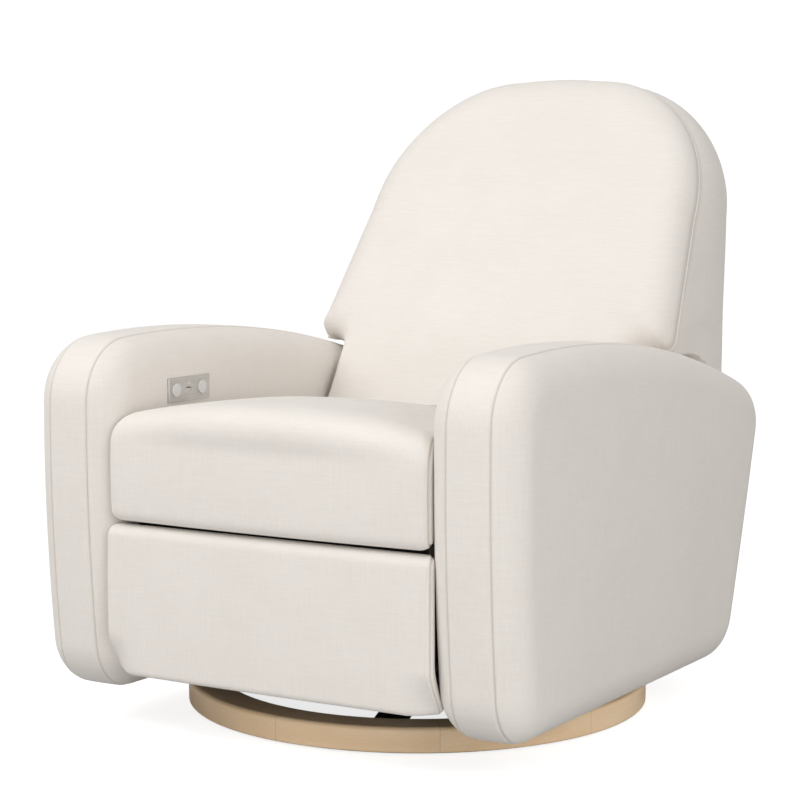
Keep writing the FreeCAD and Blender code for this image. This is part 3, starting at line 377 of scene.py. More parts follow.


# groove is a painted shade colour: the fabric is darkened towards it along each seam, where shade falls in
# the crease
cloth = {"light": colour(0.83, 0.79, 0.745), "dark": colour(0.775, 0.73, 0.68),
         "groove": colour(0.60, 0.545, 0.49), "thread": 0.00115, "weaveDepth": 0.00022,
         "rough": 0.86, "sheen": 0.25}


def clothFinish(name, light, dark, groove, paintSeamShade=True):
    made = Finish(name, cloth["rough"])
    parts = made.nodes.new("ShaderNodeSeparateXYZ")
    wobble = made.grainNoise(220.0, detail=1.0)
    made.links.new(made.place, parts.inputs[0])
    waves = []
    for k in range(3):
        bent = made.sum("MULTIPLY_ADD", wobble, 0.0009, parts.outputs[k])
        waves.append(made.sum("SINE", made.sum("MULTIPLY", bent, math.tau / cloth["thread"])))
    facing = made.nodes.new("ShaderNodeSeparateXYZ")
    shape = made.nodes.new("ShaderNodeNewGeometry")
    made.links.new(shape.outputs["Normal"], facing.inputs[0])
    weave = 0.0
    for k in range(3):
        crossing = made.sum("MULTIPLY", waves[(k + 1) % 3], waves[(k + 2) % 3])
        weight = made.sum("POWER", made.sum("ABSOLUTE", facing.outputs[k]), 2.0)
        weave = made.sum("MULTIPLY_ADD", crossing, weight, weave)
    slubWide = made.grainNoise(1.0, made.stretch((30, 30, 520)), 2.0)
    slubTall = made.grainNoise(1.0, made.stretch((520, 520, 26)), 2.0)
    cloud = made.grainNoise(11.0, detail=2.0)
    fleck = made.grainNoise(900.0, detail=1.0)
    tone = made.sum("ADD", made.sum("MULTIPLY", slubWide, 0.34), made.sum("MULTIPLY", slubTall, 0.34))
    tone = made.sum("MULTIPLY_ADD", cloud, 0.22, tone)
    tone = made.sum("MULTIPLY_ADD", fleck, 0.12, tone)
    tone = made.sum("MULTIPLY_ADD", weave, 0.035, tone)
    body = made.blend(made.span(tone, 0.36, 0.66), dark, light)
    # painted shade: along each seam the colour darkens towards the groove colour, where shade falls in the
    # crease
    if paintSeamShade:
        mark = made.nodes.new("ShaderNodeAttribute")
        mark.attribute_name = "seam"
        body = made.blend(made.sum("MULTIPLY", mark.outputs["Fac"], 0.75), body, groove)
    height = made.sum("MULTIPLY_ADD", slubWide, 0.5, made.sum("MULTIPLY", weave, 0.5))
    made.bump(height, 0.55, cloth["weaveDepth"])
    made.shader.inputs["Sheen Weight"].default_value = cloth["sheen"]
    made.shader.inputs["Sheen Roughness"].default_value = 0.45
    made.shader.inputs["Specular IOR Level"].default_value = 0.2
    return made.paint(body)


wood = {"light": colour(0.99, 0.77, 0.53), "dark": colour(0.93, 0.67, 0.41),
        "joint": colour(0.52, 0.32, 0.16), "knot": colour(0.25, 0.13, 0.06), "segments": 9, "offset": 0.37,
        "knotAngle": 171.0, "knotRadius": 0.36, "knotHeight": 0.024}


def ringWoodFinish():
    # solid segments glued end to end, with the grain straight along each one
    made = Finish("ring wood", 0.42)
    parts = made.nodes.new("ShaderNodeSeparateXYZ")
    made.links.new(made.place, parts.inputs[0])
    angle = made.sum("ARCTAN2", parts.outputs[1], parts.outputs[0])
    share = made.sum("MULTIPLY", angle, wood["segments"] / math.tau)
    share = made.sum("ADD", share, wood["offset"])
    index = made.sum("FLOOR", share)
    edge = made.sum("ABSOLUTE", made.sum("SUBTRACT", made.sum("FRACT", share), 0.5))
    centred = made.sum("ADD", index, 0.5 - wood["offset"])
    back = made.sum("MULTIPLY", centred, -math.tau / wood["segments"])
    turned = made.nodes.new("ShaderNodeVectorRotate")
    turned.rotation_type = "Z_AXIS"
    made.links.new(made.place, turned.inputs["Vector"])
    made.links.new(back, turned.inputs["Angle"])
    moved = made.nodes.new("ShaderNodeCombineXYZ")
    made.links.new(made.sum("MULTIPLY", index, 7.31), moved.inputs[1])
    shifted = made.nodes.new("ShaderNodeVectorMath")
    shifted.operation = "ADD"
    made.links.new(turned.outputs[0], shifted.inputs[0])
    made.links.new(moved.outputs[0], shifted.inputs[1])
    broad = made.grainNoise(1.0, made.stretch((42, 2.2, 42), source=shifted.outputs[0]), 3.0)
    fine = made.grainNoise(1.0, made.stretch((420, 9, 420), source=shifted.outputs[0]), 2.0, 0.6)
    chance = made.nodes.new("ShaderNodeTexWhiteNoise")
    chance.noise_dimensions = "1D"
    made.links.new(index, chance.inputs["W"])
    tone = made.sum("MULTIPLY_ADD", fine, 0.45, made.sum("MULTIPLY", broad, 0.55))
    tone = made.sum("MULTIPLY_ADD", chance.outputs["Value"], 0.16, tone)
    body = made.blend(made.span(tone, 0.42, 0.74), wood["dark"], wood["light"])
    joint = made.span(edge, 0.4972, 0.4988)
    body = made.blend(made.sum("MULTIPLY", joint, 0.55), body, wood["joint"])
    spot = made.nodes.new("ShaderNodeVectorMath")
    spot.operation = "DISTANCE"
    knotTurn = math.radians(-wood["knotAngle"])
    made.links.new(made.place, spot.inputs[0])
    spot.inputs[1].default_value = (wood["knotRadius"] * math.cos(knotTurn),
                                    wood["knotRadius"] * math.sin(knotTurn), wood["knotHeight"])
    body = made.blend(made.span(spot.outputs["Value"], 0.0012, 0.0042, 0.8, 0.0), body, wood["knot"])
    made.bump(fine, 0.12, 0.0003)
    made.shader.inputs["Coat Weight"].default_value = 0.25
    made.shader.inputs["Coat Roughness"].default_value = 0.3
    return made.paint(body, made.span(broad, 0.3, 0.7, 0.36, 0.5))


def timberFinish():
    made = Finish("sawn timber", 0.62)
    grain = made.grainNoise(1.0, made.stretch((9, 9, 160)), 3.0)
    plies = made.grainNoise(1.0, made.stretch((420, 14, 14)), 2.0)
    tone = made.sum("MULTIPLY_ADD", grain, 0.65, made.sum("MULTIPLY", plies, 0.35))
    made.bump(grain, 0.2, 0.0004)
    body = made.blend(made.span(tone, 0.35, 0.68), colour(0.46, 0.29, 0.15), colour(0.68, 0.49, 0.29))
    return made.paint(body)


def plainFinish(name, low, high, rough, metal, grainSize, depth, spread=0.08, stretch=None):
    # one colour with the small tone, gloss and surface variation of its process
    made = Finish(name, rough, metal)
    source = made.stretch(stretch) if stretch else None
    grain = made.grainNoise(1.0 if stretch else grainSize, source, 3.0)
    wear = made.grainNoise(18.0, detail=4.0)
    tone = made.sum("MULTIPLY_ADD", grain, 0.6, made.sum("MULTIPLY", wear, 0.4))
    made.bump(grain, 0.35, depth)
    return made.paint(made.blend(made.span(tone, 0.35, 0.65), low, high),
                      made.span(wear, 0.3, 0.7, rough - spread, rough + spread))


fabric = clothFinish("cream performance weave", cloth["light"], cloth["dark"], cloth["groove"])
threadFinish = clothFinish("cream thread", colour(0.84, 0.80, 0.75), colour(0.78, 0.74, 0.69),
                           cloth["groove"], False)
ringWood = ringWoodFinish()
finishes = {
    "fabric": fabric,
    "light_wood": ringWood,
    "frame_wood": timberFinish(),
    "black_steel": plainFinish("black powder coat", colour(0.012, 0.012, 0.013), colour(0.03, 0.03, 0.032),
                               0.5, 0.0, 1400.0, 0.0002),
    "zinc_steel": plainFinish("zinc plate", colour(0.44, 0.45, 0.45), colour(0.62, 0.62, 0.6),
                              0.36, 0.9, 300.0, 0.0001),
    "silver_plate": plainFinish("brushed silver", colour(0.50, 0.49, 0.48), colour(0.70, 0.69, 0.675),
                                0.36, 0.85, 1.0, 0.00005, 0.05, (60, 20, 2600)),
    "black_plastic": plainFinish("moulded black", colour(0.018, 0.018, 0.02), colour(0.035, 0.035, 0.036),
                                 0.5, 0.0, 2600.0, 0.00008),
    "socket_metal": plainFinish("tin plate", colour(0.62, 0.62, 0.62), colour(0.76, 0.76, 0.75),
                                0.25, 1.0, 500.0, 0.00004),
    "button_grey": plainFinish("satin grey button", colour(0.66, 0.655, 0.645), colour(0.74, 0.735, 0.725),
                               0.42, 0.0, 1800.0, 0.00004, 0.05),
    "grip_rubber": plainFinish("moulded rubber", colour(0.02, 0.02, 0.02), colour(0.04, 0.04, 0.04),
                               0.75, 0.0, 900.0, 0.0002),
}
print("finishes ready:", len(finishes))


# Arms: a rounded side outline, band and side panels meeting at stitched seams

arm = {"corners": ((-421, 54.7), (323, 46.2), (460, 466), (-443, 574)), "radii": (80, 82, 78, 100),
       "bulges": (0, 4.0, 50.5, 12.3), "radius": 53 * mm, "seamAngle": 15.5, "crown": 1.5 * mm,
       "sideCrown": 1.5 * mm, "step": 6 * mm, "groove": 1.3 * mm, "lip": 0.55 * mm, "fill": 0.9}
armLoop = roundedOutline(np.array(arm["corners"]) * mm, [r * mm for r in arm["radii"]],
                         [b * mm for b in arm["bulges"]], arm["step"])
armCrowns = np.full(len(armLoop), arm["crown"])
panelRings = (0.05, 0.12, 0.2, 0.3, 0.42, 0.55, 0.7, 0.85)


def armSpec(side):
    inner, outer = (corner[0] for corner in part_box("left_arm_pad"))
    low, high = (inner, outer) if side > 0 else (-outer, -inner)
    return {"low": low, "high": high, "radius": arm["radius"], "seamAngle": arm["seamAngle"], "across": 10,
            "groove": arm["groove"], "lip": arm["lip"], "seed": 3.0 + side, "panelRings": panelRings,
            "lowCrown": 0.0 if side > 0 else arm["sideCrown"],
            "highCrown": arm["sideCrown"] if side > 0 else 0.0}


for side, word in ((1, "left"), (-1, "right")):
    armPad = bandedForm(word + "ArmPad", armLoop, armSpec(side), armCrowns, fabric)
    fitPiece(armPad, "chair", (word + "_arm_pad",))
print("arms made")


# Seat cushion: crowned top that wraps over the front, boxed sides

seat = {"corners": ((-437, 319), (196, 320), (198, 424), (-436, 473)), "radii": (16, 8, 10, 46),
        "bulges": (1, 0, 11, 3), "half": 256 * mm, "radius": 20 * mm, "seamAngle": 52, "topCrown": 27 * mm,
        "frontCrown": 5 * mm, "frontSpread": 15 * mm, "step": 6 * mm, "fill": 0.75}
seatLoop = roundedOutline(np.array(seat["corners"]) * mm, [r * mm for r in seat["radii"]],
                          [b * mm for b in seat["bulges"]], seat["step"])
seatNormals = outwardNormals(seatLoop)
topShare = ease((seatNormals[:, 1] - 0.1) / 0.8) * ease((0.09 - seatLoop[:, 0]) / 0.33)
frontShare = ease((-seatNormals[:, 0] - 0.1) / 0.8)
seatCrowns = topShare * seat["topCrown"] + frontShare * seat["frontCrown"]


def spreadFront(points):
    points = np.array(points)
    ahead = ease((-points[:, 1] - 0.385) / 0.05) * ease((np.abs(points[:, 0]) - 0.16) / 0.09)
    points[:, 0] += np.sign(points[:, 0]) * ahead * seat["frontSpread"]
    return points


seatSpec = {"low": -seat["half"], "high": seat["half"], "radius": seat["radius"],
            "seamAngle": seat["seamAngle"], "across": 44, "groove": 1.4 * mm, "lip": 0.7 * mm, "seed": 11.0,
            "panelRings": panelRings, "lowCrown": 0.5 * mm, "highCrown": 0.5 * mm}
seatCushion = bandedForm("seatCushion", seatLoop, seatSpec, seatCrowns, fabric, spreadFront)
fitPiece(seatCushion, "seat", ("seat_cushion",))
print("seat cushion made")


# Footrest pad: a flat panel with a soft top edge and a sewn line near each side

rest = {"corners": ((-437, 91), (-411, 91), (-411, 313), (-437, 313)), "radii": (9, 5, 5, 17),
        "bulges": (0, 0, 0, 2), "half": 257 * mm, "radius": 11 * mm, "seamAngle": 40, "crown": 2 * mm,
        "step": 3 * mm,
        "spread": ((400, 4), (411, 8), (426, 16), (437, 19)), "tuck": 28 * mm, "fill": 0.8}
restLoop = roundedOutline(np.array(rest["corners"]) * mm, [r * mm for r in rest["radii"]],
                          [b * mm for b in rest["bulges"]], rest["step"])
restNormals = outwardNormals(restLoop)
restCrowns = ease((-restNormals[:, 0] - 0.1) / 0.8) * rest["crown"]


def spreadRest(points):
    # the sides widen where the arms' fronts round away, and the lower corners tuck back
    points = np.array(points)
    depths, widths = np.array(rest["spread"]).T * mm
    wide = np.interp(-points[:, 1], depths, widths)
    points[:, 0] += np.sign(points[:, 0]) * wide * ease((np.abs(points[:, 0]) - 0.17) / 0.08)
    low = ease((0.155 - points[:, 2]) / 0.07) * ease((np.abs(points[:, 0]) - 0.236) / 0.034)
    points[:, 1] += rest["tuck"] * low
    return points


restSpec = {"low": -rest["half"], "high": rest["half"], "radius": rest["radius"],
            "seamAngle": rest["seamAngle"], "across": 40, "groove": 1.0 * mm, "lip": 0.5 * mm, "seed": 17.0,
            "panelRings": (0.2, 0.5, 0.8), "lowCrown": 0.0, "highCrown": 0.0}
restPad = bandedForm("footrestPad", restLoop, restSpec, restCrowns, fabric, spreadRest)
fitPiece(restPad, "footrest", ("footrest_pad",))
print("footrest pad made")


# Back: a T-shaped front pad on a leaning seam plane, and a deep shell behind it

lean = {"angle": 33.0, "y": 275.5 * mm, "z": 590 * mm}
leanSin, leanCos = math.sin(math.radians(lean["angle"])), math.cos(math.radians(lean["angle"]))
back = {"height": 51 * mm, "crown": 7 * mm, "edge": 58 * mm, "lowerEdge": 11 * mm, "topEdge": 84 * mm,
        "lowerHalf": 256 * mm, "wingLow": 539 * mm, "bottom": 402 * mm, "innerRound": 0.052,
        "cornerRound": 0.02, "thinning": 4 * mm, "pucker": 0.9 * mm, "unevenness": 1.0 * mm, "fill": 0.8}
arch = {"wingTip": (328, 556), "shoulder": (302, 747), "centre": (76, 747), "radius": 226,
        "nearTop": (38, 976), "top": 977, "lowRound": 0.02}
archTurns = np.linspace(0.06, math.pi / 2, 22)
archLine = [arch["wingTip"], arch["shoulder"]]
archLine += [(arch["centre"][0] + arch["radius"] * math.cos(a),
              arch["centre"][1] + arch["radius"] * math.sin(a)) for a in archTurns]
archLine = [(x * mm, z * mm) for x, z in archLine + [arch["nearTop"]]]


def archOutline(lowerHalf, wingLow, bottom, inner, corner, convert, step):
    right = [(lowerHalf, bottom), (lowerHalf, wingLow), (archLine[0][0], wingLow)] + archLine[1:]
    radii = [arch["lowRound"], inner, corner] + [0] * (len(archLine) - 1)
    left = [(-x, z) for x, z in reversed(right)]
    corners = np.array([(x, convert(z)) for x, z in right + [(0.0, arch["top"] * mm)] + left])
    return roundedOutline(corners, radii + [0] + radii[::-1], [0] * len(corners), step)


def onPlane(u, v, w):
    # a point v up the leaning plane and w in front of it
    return np.stack([u, lean["y"] + v * leanSin - w * leanCos, lean["z"] + v * leanCos + w * leanSin], axis=1)


padLoop = archOutline(back["lowerHalf"], back["wingLow"], back["bottom"], back["innerRound"],
                      back["cornerRound"], lambda z: (z - lean["z"]) / leanCos, 5.5 * mm)
edgeDepths = [0, 0.0006, 0.0016, 0.003, 0.005, 0.0078, 0.0115, 0.016, 0.022, 0.030, 0.040, 0.052, 0.066]
padFlat, padGap, padFaces, _ = panelPoints(padLoop, edgeDepths, 13 * mm)


def roundEdge(gap, radius, height):
    share = np.clip(gap / radius, 0, 1)
    return height * np.sqrt(np.maximum(0, 1 - (1 - share) ** 2))


def backPad():
    flat, gap = padFlat, padGap
    level = lean["z"] + flat[:, 1] * leanCos
    radius = back["edge"] + (back["topEdge"] - back["edge"]) * ease((level - 0.80) / 0.15)
    radius = radius + (back["lowerEdge"] - radius) * ease((0.575 - level) / 0.075)
    height = roundEdge(gap, radius, back["height"]) + back["crown"] * ease(gap / 0.2)
    height -= back["thinning"] * ease((0.56 - level) / 0.16)
    spots = np.column_stack([flat, np.zeros(len(flat))])
    height += back["pucker"] * softNoise(spots, 0.012, 5) * np.exp(-((gap - 0.006) / 0.006) ** 2)
    height += back["unevenness"] * softNoise(spots, 0.16, 8) * ease(gap / 0.05)
    front = onPlane(flat[:, 0], flat[:, 1], height)
    behind = onPlane(flat[:, 0], flat[:, 1], np.zeros(len(flat)))
    count = len(flat)
    points = np.vstack([front, behind])
    middleRise = 0.006 * (1 - np.minimum(1, np.abs(points[:, 0]) / 0.25) ** 2)
    seatTop = 0.4405 - 0.16 * (points[:, 1] - 0.127) + middleRise  # the pad's foot lies on the seat
    points[:, 2] = np.maximum(points[:, 2], seatTop)
    # painted shade along the pad's sewn edge
    seamShadeWeights = np.concatenate([np.exp(-(gap / 0.0012) ** 2)] * 2)
    faces = list(padFaces) + [tuple(count + k for k in reversed(face)) for face in padFaces]
    return newPiece("backPad", points, faces, fabric, seamShadeWeights)


fitPiece(backPad(), "back", ("back_cushion",))

shell = {"rearLine": ((230, 372), (466, 452), (594, 480), (700, 509), (790, 530), (900, 550), (978, 562)),
         "edge": 10 * mm, "crown": 3 * mm, "outset": 0.004, "wallBulge": 5 * mm, "unevenness": 1.0 * mm,
         "lowerHalf": 244 * mm, "bottom": 231 * mm, "lowFront": 316 * mm, "wingLow": 430 * mm, "wall": 7,
         "innerRound": 0.01, "cornerRound": 0.004, "fill": 0.9,
         "underside": ((449, 446), (422, 482), (392, 507), (362, 525), (335, 531), (270, 533), (243, 538),
                       (100, 572))}
shellLoop = archOutline(shell["lowerHalf"], shell["wingLow"], shell["bottom"], shell["innerRound"],
                        shell["cornerRound"], lambda z: z, 5.5 * mm)


def trimWings(item):
    # the wings end just above the arms, along a line that clears them as the back leans
    line = [(y * mm, z * mm) for y, z in shell["underside"]] + [(0.1, 0.38), (0.449, 0.38)]
    for side in (-1, 1):
        near, far = side * (shell["lowerHalf"] + 0.0004), side * 0.37
        count = len(line)
        points = [(near, y, z) for y, z in line] + [(far, y, z) for y, z in line]
        faces = [tuple(range(count)), tuple(range(2 * count - 1, count - 1, -1))]
        faces += strip(0, count, count)
        block = newPiece("wingTrim", points, faces, fabric)
        trim = item.modifiers.new("wing trim", "BOOLEAN")
        trim.operation = "DIFFERENCE"
        trim.solver = "EXACT"
        trim.object = block
        applyStack(item)
        bpy.data.objects.remove(block)


def shellPiece():
    flat, gap, faces, count = panelPoints(shellLoop, edgeDepths[:-2], 14 * mm)
    level = flat[:, 1]
    rear = np.interp(level, [z * mm for z, y in shell["rearLine"]], [y * mm for z, y in shell["rearLine"]])
    front = lean["y"] + (level - lean["z"]) * leanSin / leanCos
    front = front + (shell["lowFront"] - front) * ease((0.449 - level) / 0.012)
    thickness = rear - front
    radius = np.minimum(shell["edge"], thickness * 0.62)
    drop = radius * (1 - np.sqrt(np.maximum(0, 1 - (1 - np.clip(gap / radius, 0, 1)) ** 2)))
    rear = rear + shell["crown"] * ease(gap / 0.16) + shell["outset"] - drop * 0.98
    spots = np.column_stack([flat, np.zeros(len(flat))])
    rear += shell["unevenness"] * softNoise(spots, 0.2, 15) * ease(gap / 0.05)
    points = [np.column_stack([flat[:, 0], front, level]), np.column_stack([flat[:, 0], rear, level])]
    total = len(flat)
    # painted shade along the shell's sewn front edge
    seamShadeWeights = [np.exp(-(gap / 0.0012) ** 2), np.zeros(total)]
    every = [tuple(reversed(face)) for face in faces] + [tuple(total + k for k in face) for face in faces]
    last = 0
    for row in range(1, shell["wall"] + 1):
        t = row / (shell["wall"] + 1)
        start = sum(len(p) for p in points)
        y = front[:count] * (1 - t) + rear[:count] * t
        bulge = shell["wallBulge"] * math.sin(math.pi * t) * ease((thickness[:count] - 0.03) / 0.05)
        out = outwardNormals(shellLoop) * bulge[:, None]
        inside = ease((level[:count] - 0.56) / 0.03)[:, None]
        wallFlat = flat[:count] + out * inside
        points.append(np.column_stack([wallFlat[:, 0], y, wallFlat[:, 1]]))
        seamShadeWeights.append(np.zeros(count))
        every += strip(last, start, count)
        last = start
    every += strip(last, total, count)
    points = np.vstack(points)
    made = newPiece("backShell", points, every, fabric, np.concatenate(seamShadeWeights))
    trimWings(made)
    return made


fitPiece(shellPiece(), "back", ("back_shell",))
print("back made")


# Welt: a cord of fabric round the back's seam, above the arms

welt = {"radius": 1.7 * mm, "sides": 10, "centre": 0.60}


def tube(name, path, radius, sides, material):
    # a round cord of fabric along a path of points
    path = np.array(path)
    count = len(path)
    tangents = np.gradient(path, axis=0)
    tangents /= np.linalg.norm(tangents, axis=1)[:, None]
    points, faces = [], []
    for k in range(count):
        across = np.cross(tangents[k], (0.0, leanCos, -leanSin))
        across /= np.linalg.norm(across)
        up = np.cross(across, tangents[k])
        for j in range(sides):
            a = math.tau * j / sides
            points.append(path[k] + radius * (across * math.cos(a) + up * math.sin(a)))
    for k in range(count - 1):
        faces += strip(k * sides, (k + 1) * sides, sides)
    faces += [tuple(range(sides)), tuple((count - 1) * sides + j for j in reversed(range(sides)))]
    return newPiece(name, points, faces, material)


above = [p for p in padLoop if lean["z"] + p[1] * leanCos > back["wingLow"] + 0.0005]
kept = np.array([p for p in above if abs(p[0]) > 0.258 or p[1] > 0.1])
weltPath = sorted(onPlane(kept[:, 0], kept[:, 1], np.zeros(len(kept))),
                  key=lambda p: math.atan2(p[0], p[2] - welt["centre"]))
fitPiece(tube("backWelt", weltPath, welt["radius"], welt["sides"], fabric), "back")
print("welt made")


# Wood ring

ring = {"inner": 305, "outer": 360, "low": 3, "high": 40, "topRound": 7, "edgeRound": 2.5, "around": 240}


def woodRing():
    corners = [(ring["inner"] * mm, ring["low"] * mm), (ring["outer"] * mm, ring["low"] * mm),
               (ring["outer"] * mm, ring["high"] * mm), (ring["inner"] * mm, ring["high"] * mm)]
    small, large = ring["edgeRound"] * mm, ring["topRound"] * mm
    loop = roundedOutline(corners, [small, small, large, small], [0, 0, 0, 0], 1.6 * mm)
    points, faces = [], []
    count = len(loop)
    for k in range(ring["around"]):
        a = math.tau * k / ring["around"]
        points += [(r * math.cos(a), r * math.sin(a), z) for r, z in loop]
    for k in range(ring["around"]):
        faces += strip(k * count, (k + 1) % ring["around"] * count, count)
    return newPiece("woodRing", points, faces, ringWood)


fitPiece(woodRing(), "base", ("base_ring",))
print("ring made")


# Rear rail

rail = {"half": 260 * mm, "inset": 0.001, "thick": 0.014, "cornerRound": 0.004, "sideBulge": 0.002,
        "radius": 5.5 * mm, "fill": 0.9}
lowCorner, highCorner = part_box("rear_valance")
footY, headY = lowCorner[1], highCorner[1]  # the panel leans back from its foot to its head
railLoop = roundedOutline([(footY + rail["inset"], lowCorner[2] + rail["inset"]),
                           (footY + rail["thick"], lowCorner[2] + rail["inset"]),
                           (headY - rail["inset"], highCorner[2]), (headY - rail["thick"], highCorner[2])],
                          [rail["cornerRound"]] * 4, [0, rail["sideBulge"], 0, 0], 2.5 * mm)
railSpec = {"low": -rail["half"], "high": rail["half"], "radius": rail["radius"], "seamAngle": 45,
            "across": 30, "groove": 0.5 * mm, "lip": 0.2 * mm, "seed": 23.0, "panelRings": (0.4, 0.8),
            "lowCrown": 0.0, "highCrown": 0.0}
rearRail = bandedForm("rearRail", railLoop, railSpec, np.full(len(railLoop), 0.0), fabric)
fitPiece(rearRail, "chair", ("rear_valance",))
print("rear rail made")


# Thread: rows of stitches laid along lines on the forms

stitch = {"pitch": 4.3 * mm, "length": 3.1 * mm, "width": 0.95 * mm, "turn": 0.05, "seed": 7,
          "armBeside": 5.0 * mm, "armFront": -0.38, "armLevels": (0.11, 0.50), "restBeside": -6.5 * mm,
          "restFront": -0.434, "restLevels": (0.10, 0.300), "lift": 0.1 * mm}


def stitchTree():
    tree = bpy.data.node_groups.new("stitch row", "GeometryNodeTree")
    tree.is_modifier = True
    inputs = {}
    sockets = tree.interface
    sockets.new_socket("Geometry", in_out="INPUT", socket_type="NodeSocketGeometry")
    sockets.new_socket("Geometry", in_out="OUTPUT", socket_type="NodeSocketGeometry")
    kinds = {"Pitch": "Float", "Length": "Float", "Width": "Float", "Turn": "Float", "Seed": "Int",
             "Material": "Material"}
    for label, kind in kinds.items():
        made = sockets.new_socket(label, in_out="INPUT", socket_type="NodeSocket" + kind)
        inputs[label] = made.identifier
    add, join = tree.nodes.new, tree.links.new
    given, final = add("NodeGroupInput"), add("NodeGroupOutput")
    line = add("GeometryNodeMeshToCurve")
    spaced = add("GeometryNodeResampleCurve")
    spaced.mode = "LENGTH"
    ahead = add("GeometryNodeInputTangent")
    lay = add("FunctionNodeAlignRotationToVector")
    lay.axis = "X"
    bead = add("GeometryNodeMeshUVSphere")
    bead.inputs["Segments"].default_value = 8
    bead.inputs["Rings"].default_value = 5
    bead.inputs["Radius"].default_value = 0.5
    size = add("ShaderNodeCombineXYZ")
    shaped = add("GeometryNodeTransform")
    spread = add("GeometryNodeInstanceOnPoints")
    chance = add("FunctionNodeRandomValue")
    chance.data_type = "FLOAT"
    lower = add("ShaderNodeMath")
    lower.operation = "MULTIPLY"
    lower.inputs[1].default_value = -1.0
    tilt = add("ShaderNodeCombineXYZ")
    turned = add("GeometryNodeRotateInstances")
    real = add("GeometryNodeRealizeInstances")
    smooth = add("GeometryNodeSetShadeSmooth")
    dress = add("GeometryNodeSetMaterial")
    join(given.outputs["Geometry"], line.inputs[0])
    join(line.outputs[0], spaced.inputs["Curve"])
    join(given.outputs["Pitch"], spaced.inputs["Length"])
    join(ahead.outputs[0], lay.inputs["Vector"])
    for socket, label in zip(size.inputs, ("Length", "Width", "Width")):
        join(given.outputs[label], socket)
    join(bead.outputs["Mesh"], shaped.inputs["Geometry"])
    join(size.outputs[0], shaped.inputs["Scale"])
    join(spaced.outputs[0], spread.inputs["Points"])
    join(shaped.outputs[0], spread.inputs["Instance"])
    join(lay.outputs[0], spread.inputs["Rotation"])
    join(given.outputs["Turn"], lower.inputs[0])
    join(lower.outputs[0], chance.inputs[2])
    join(given.outputs["Turn"], chance.inputs[3])
    join(given.outputs["Seed"], chance.inputs["Seed"])
    join(chance.outputs[1], tilt.inputs[2])
    join(spread.outputs[0], turned.inputs["Instances"])
    join(tilt.outputs[0], turned.inputs["Rotation"])
    join(turned.outputs[0], real.inputs[0])
    join(real.outputs[0], smooth.inputs[0])
    join(smooth.outputs[0], dress.inputs["Geometry"])
    join(given.outputs["Material"], dress.inputs["Material"])
    join(dress.outputs[0], final.inputs[0])
    return tree, inputs


stitchGroup, stitchInputs = stitchTree()


def stitchRows(name, rows, body):
    points, edges = [], []
    for row in rows:
        start = len(points)
        points += [tuple(p) for p in row]
        edges += [(start + k, start + k + 1) for k in range(len(row) - 1)]
    mesh = bpy.data.meshes.new(name)
    mesh.from_pydata(points, edges, [])
    item = bpy.data.objects.new(name, mesh)
    scene.collection.objects.link(item)
    work = item.modifiers.new("stitches", "NODES")
    work.node_group = stitchGroup
    for label in ("Pitch", "Length", "Width", "Turn", "Seed"):
        work[stitchInputs[label]] = stitch[label.lower()]
    work[stitchInputs["Material"]] = threadFinish
    applyStack(item)
    return fitPiece(item, body)


def armFront(point):
    low, high = stitch["armLevels"]
    return point[0] < stitch["armFront"] and low < point[1] < high


def restFront(point):
    low, high = stitch["restLevels"]
    return point[0] < stitch["restFront"] and low < point[1] < high


for side, word in ((1, "left"), (-1, "right")):
    rows = []
    for edge in (1, -1):
        for shift in (-stitch["armBeside"], stitch["armBeside"]):
            rows.append(seamRow(armLoop, armSpec(side), armCrowns, edge, shift, armFront, stitch["lift"]))
    stitchRows(word + "ArmStitches", rows, "chair")
rows = [seamRow(restLoop, restSpec, restCrowns, edge, stitch["restBeside"], restFront, stitch["lift"],
                spreadRest) for edge in (1, -1)]
stitchRows("footrestStitches", rows, "footrest")
print("stitches made")


# Control plate: a rounded bar along its front edge, coloured lighter than the plate as a painted highlight,
# and a small round mark above the socket in the same bright finish

control = {"bevel": 1.3 * mm, "edgeInset": 2.0 * mm, "endInset": 1.5 * mm, "markRadius": 1.7 * mm,
           "markWire": 0.3 * mm, "markRise": 8.5 * mm, "around": 32, "sides": 8}
# painted highlight: this finish is lighter than the brushed plate to show the light the edge bevel catches;
# its lower roughness is real gloss
highlightFinish = plainFinish("glossy edge with painted highlight", colour(0.80, 0.80, 0.79), colour(0.90, 0.90, 0.89),
                         0.22, 0.6, 700.0, 0.00003)
plateLow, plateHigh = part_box("control_plate")
faceX = plateHigh[0]


def ridge(name, start, end, radius, material):
    # a slim half-round bar with rounded ends, standing on the plate
    start, end = np.array(start), np.array(end)
    length = np.linalg.norm(end - start)
    along = (end - start) / length
    up = np.array([1.0, 0.0, 0.0])
    across = np.cross(up, along)
    points, faces, sides = [], [], 12
    turns = [t * math.pi / 2 for t in (0.0, 0.25, 0.6, 1.0)]
    ends = [(radius * (1 - math.cos(a)), max(0.05, math.sin(a))) for a in turns]
    spots = ends + [(length - distance, scale) for distance, scale in reversed(ends)]
    for distance, scale in spots:
        for k in range(sides):
            a = math.tau * k / sides
            out = across * math.cos(a) + up * 0.6 * math.sin(a)
            points.append(start + along * distance + radius * scale * out)
    for k in range(len(spots) - 1):
        faces += strip(k * sides, (k + 1) * sides, sides)
    faces += [tuple(range(sides)), tuple(range((len(spots) - 1) * sides, len(spots) * sides))]
    return newPiece(name, points, faces, material)


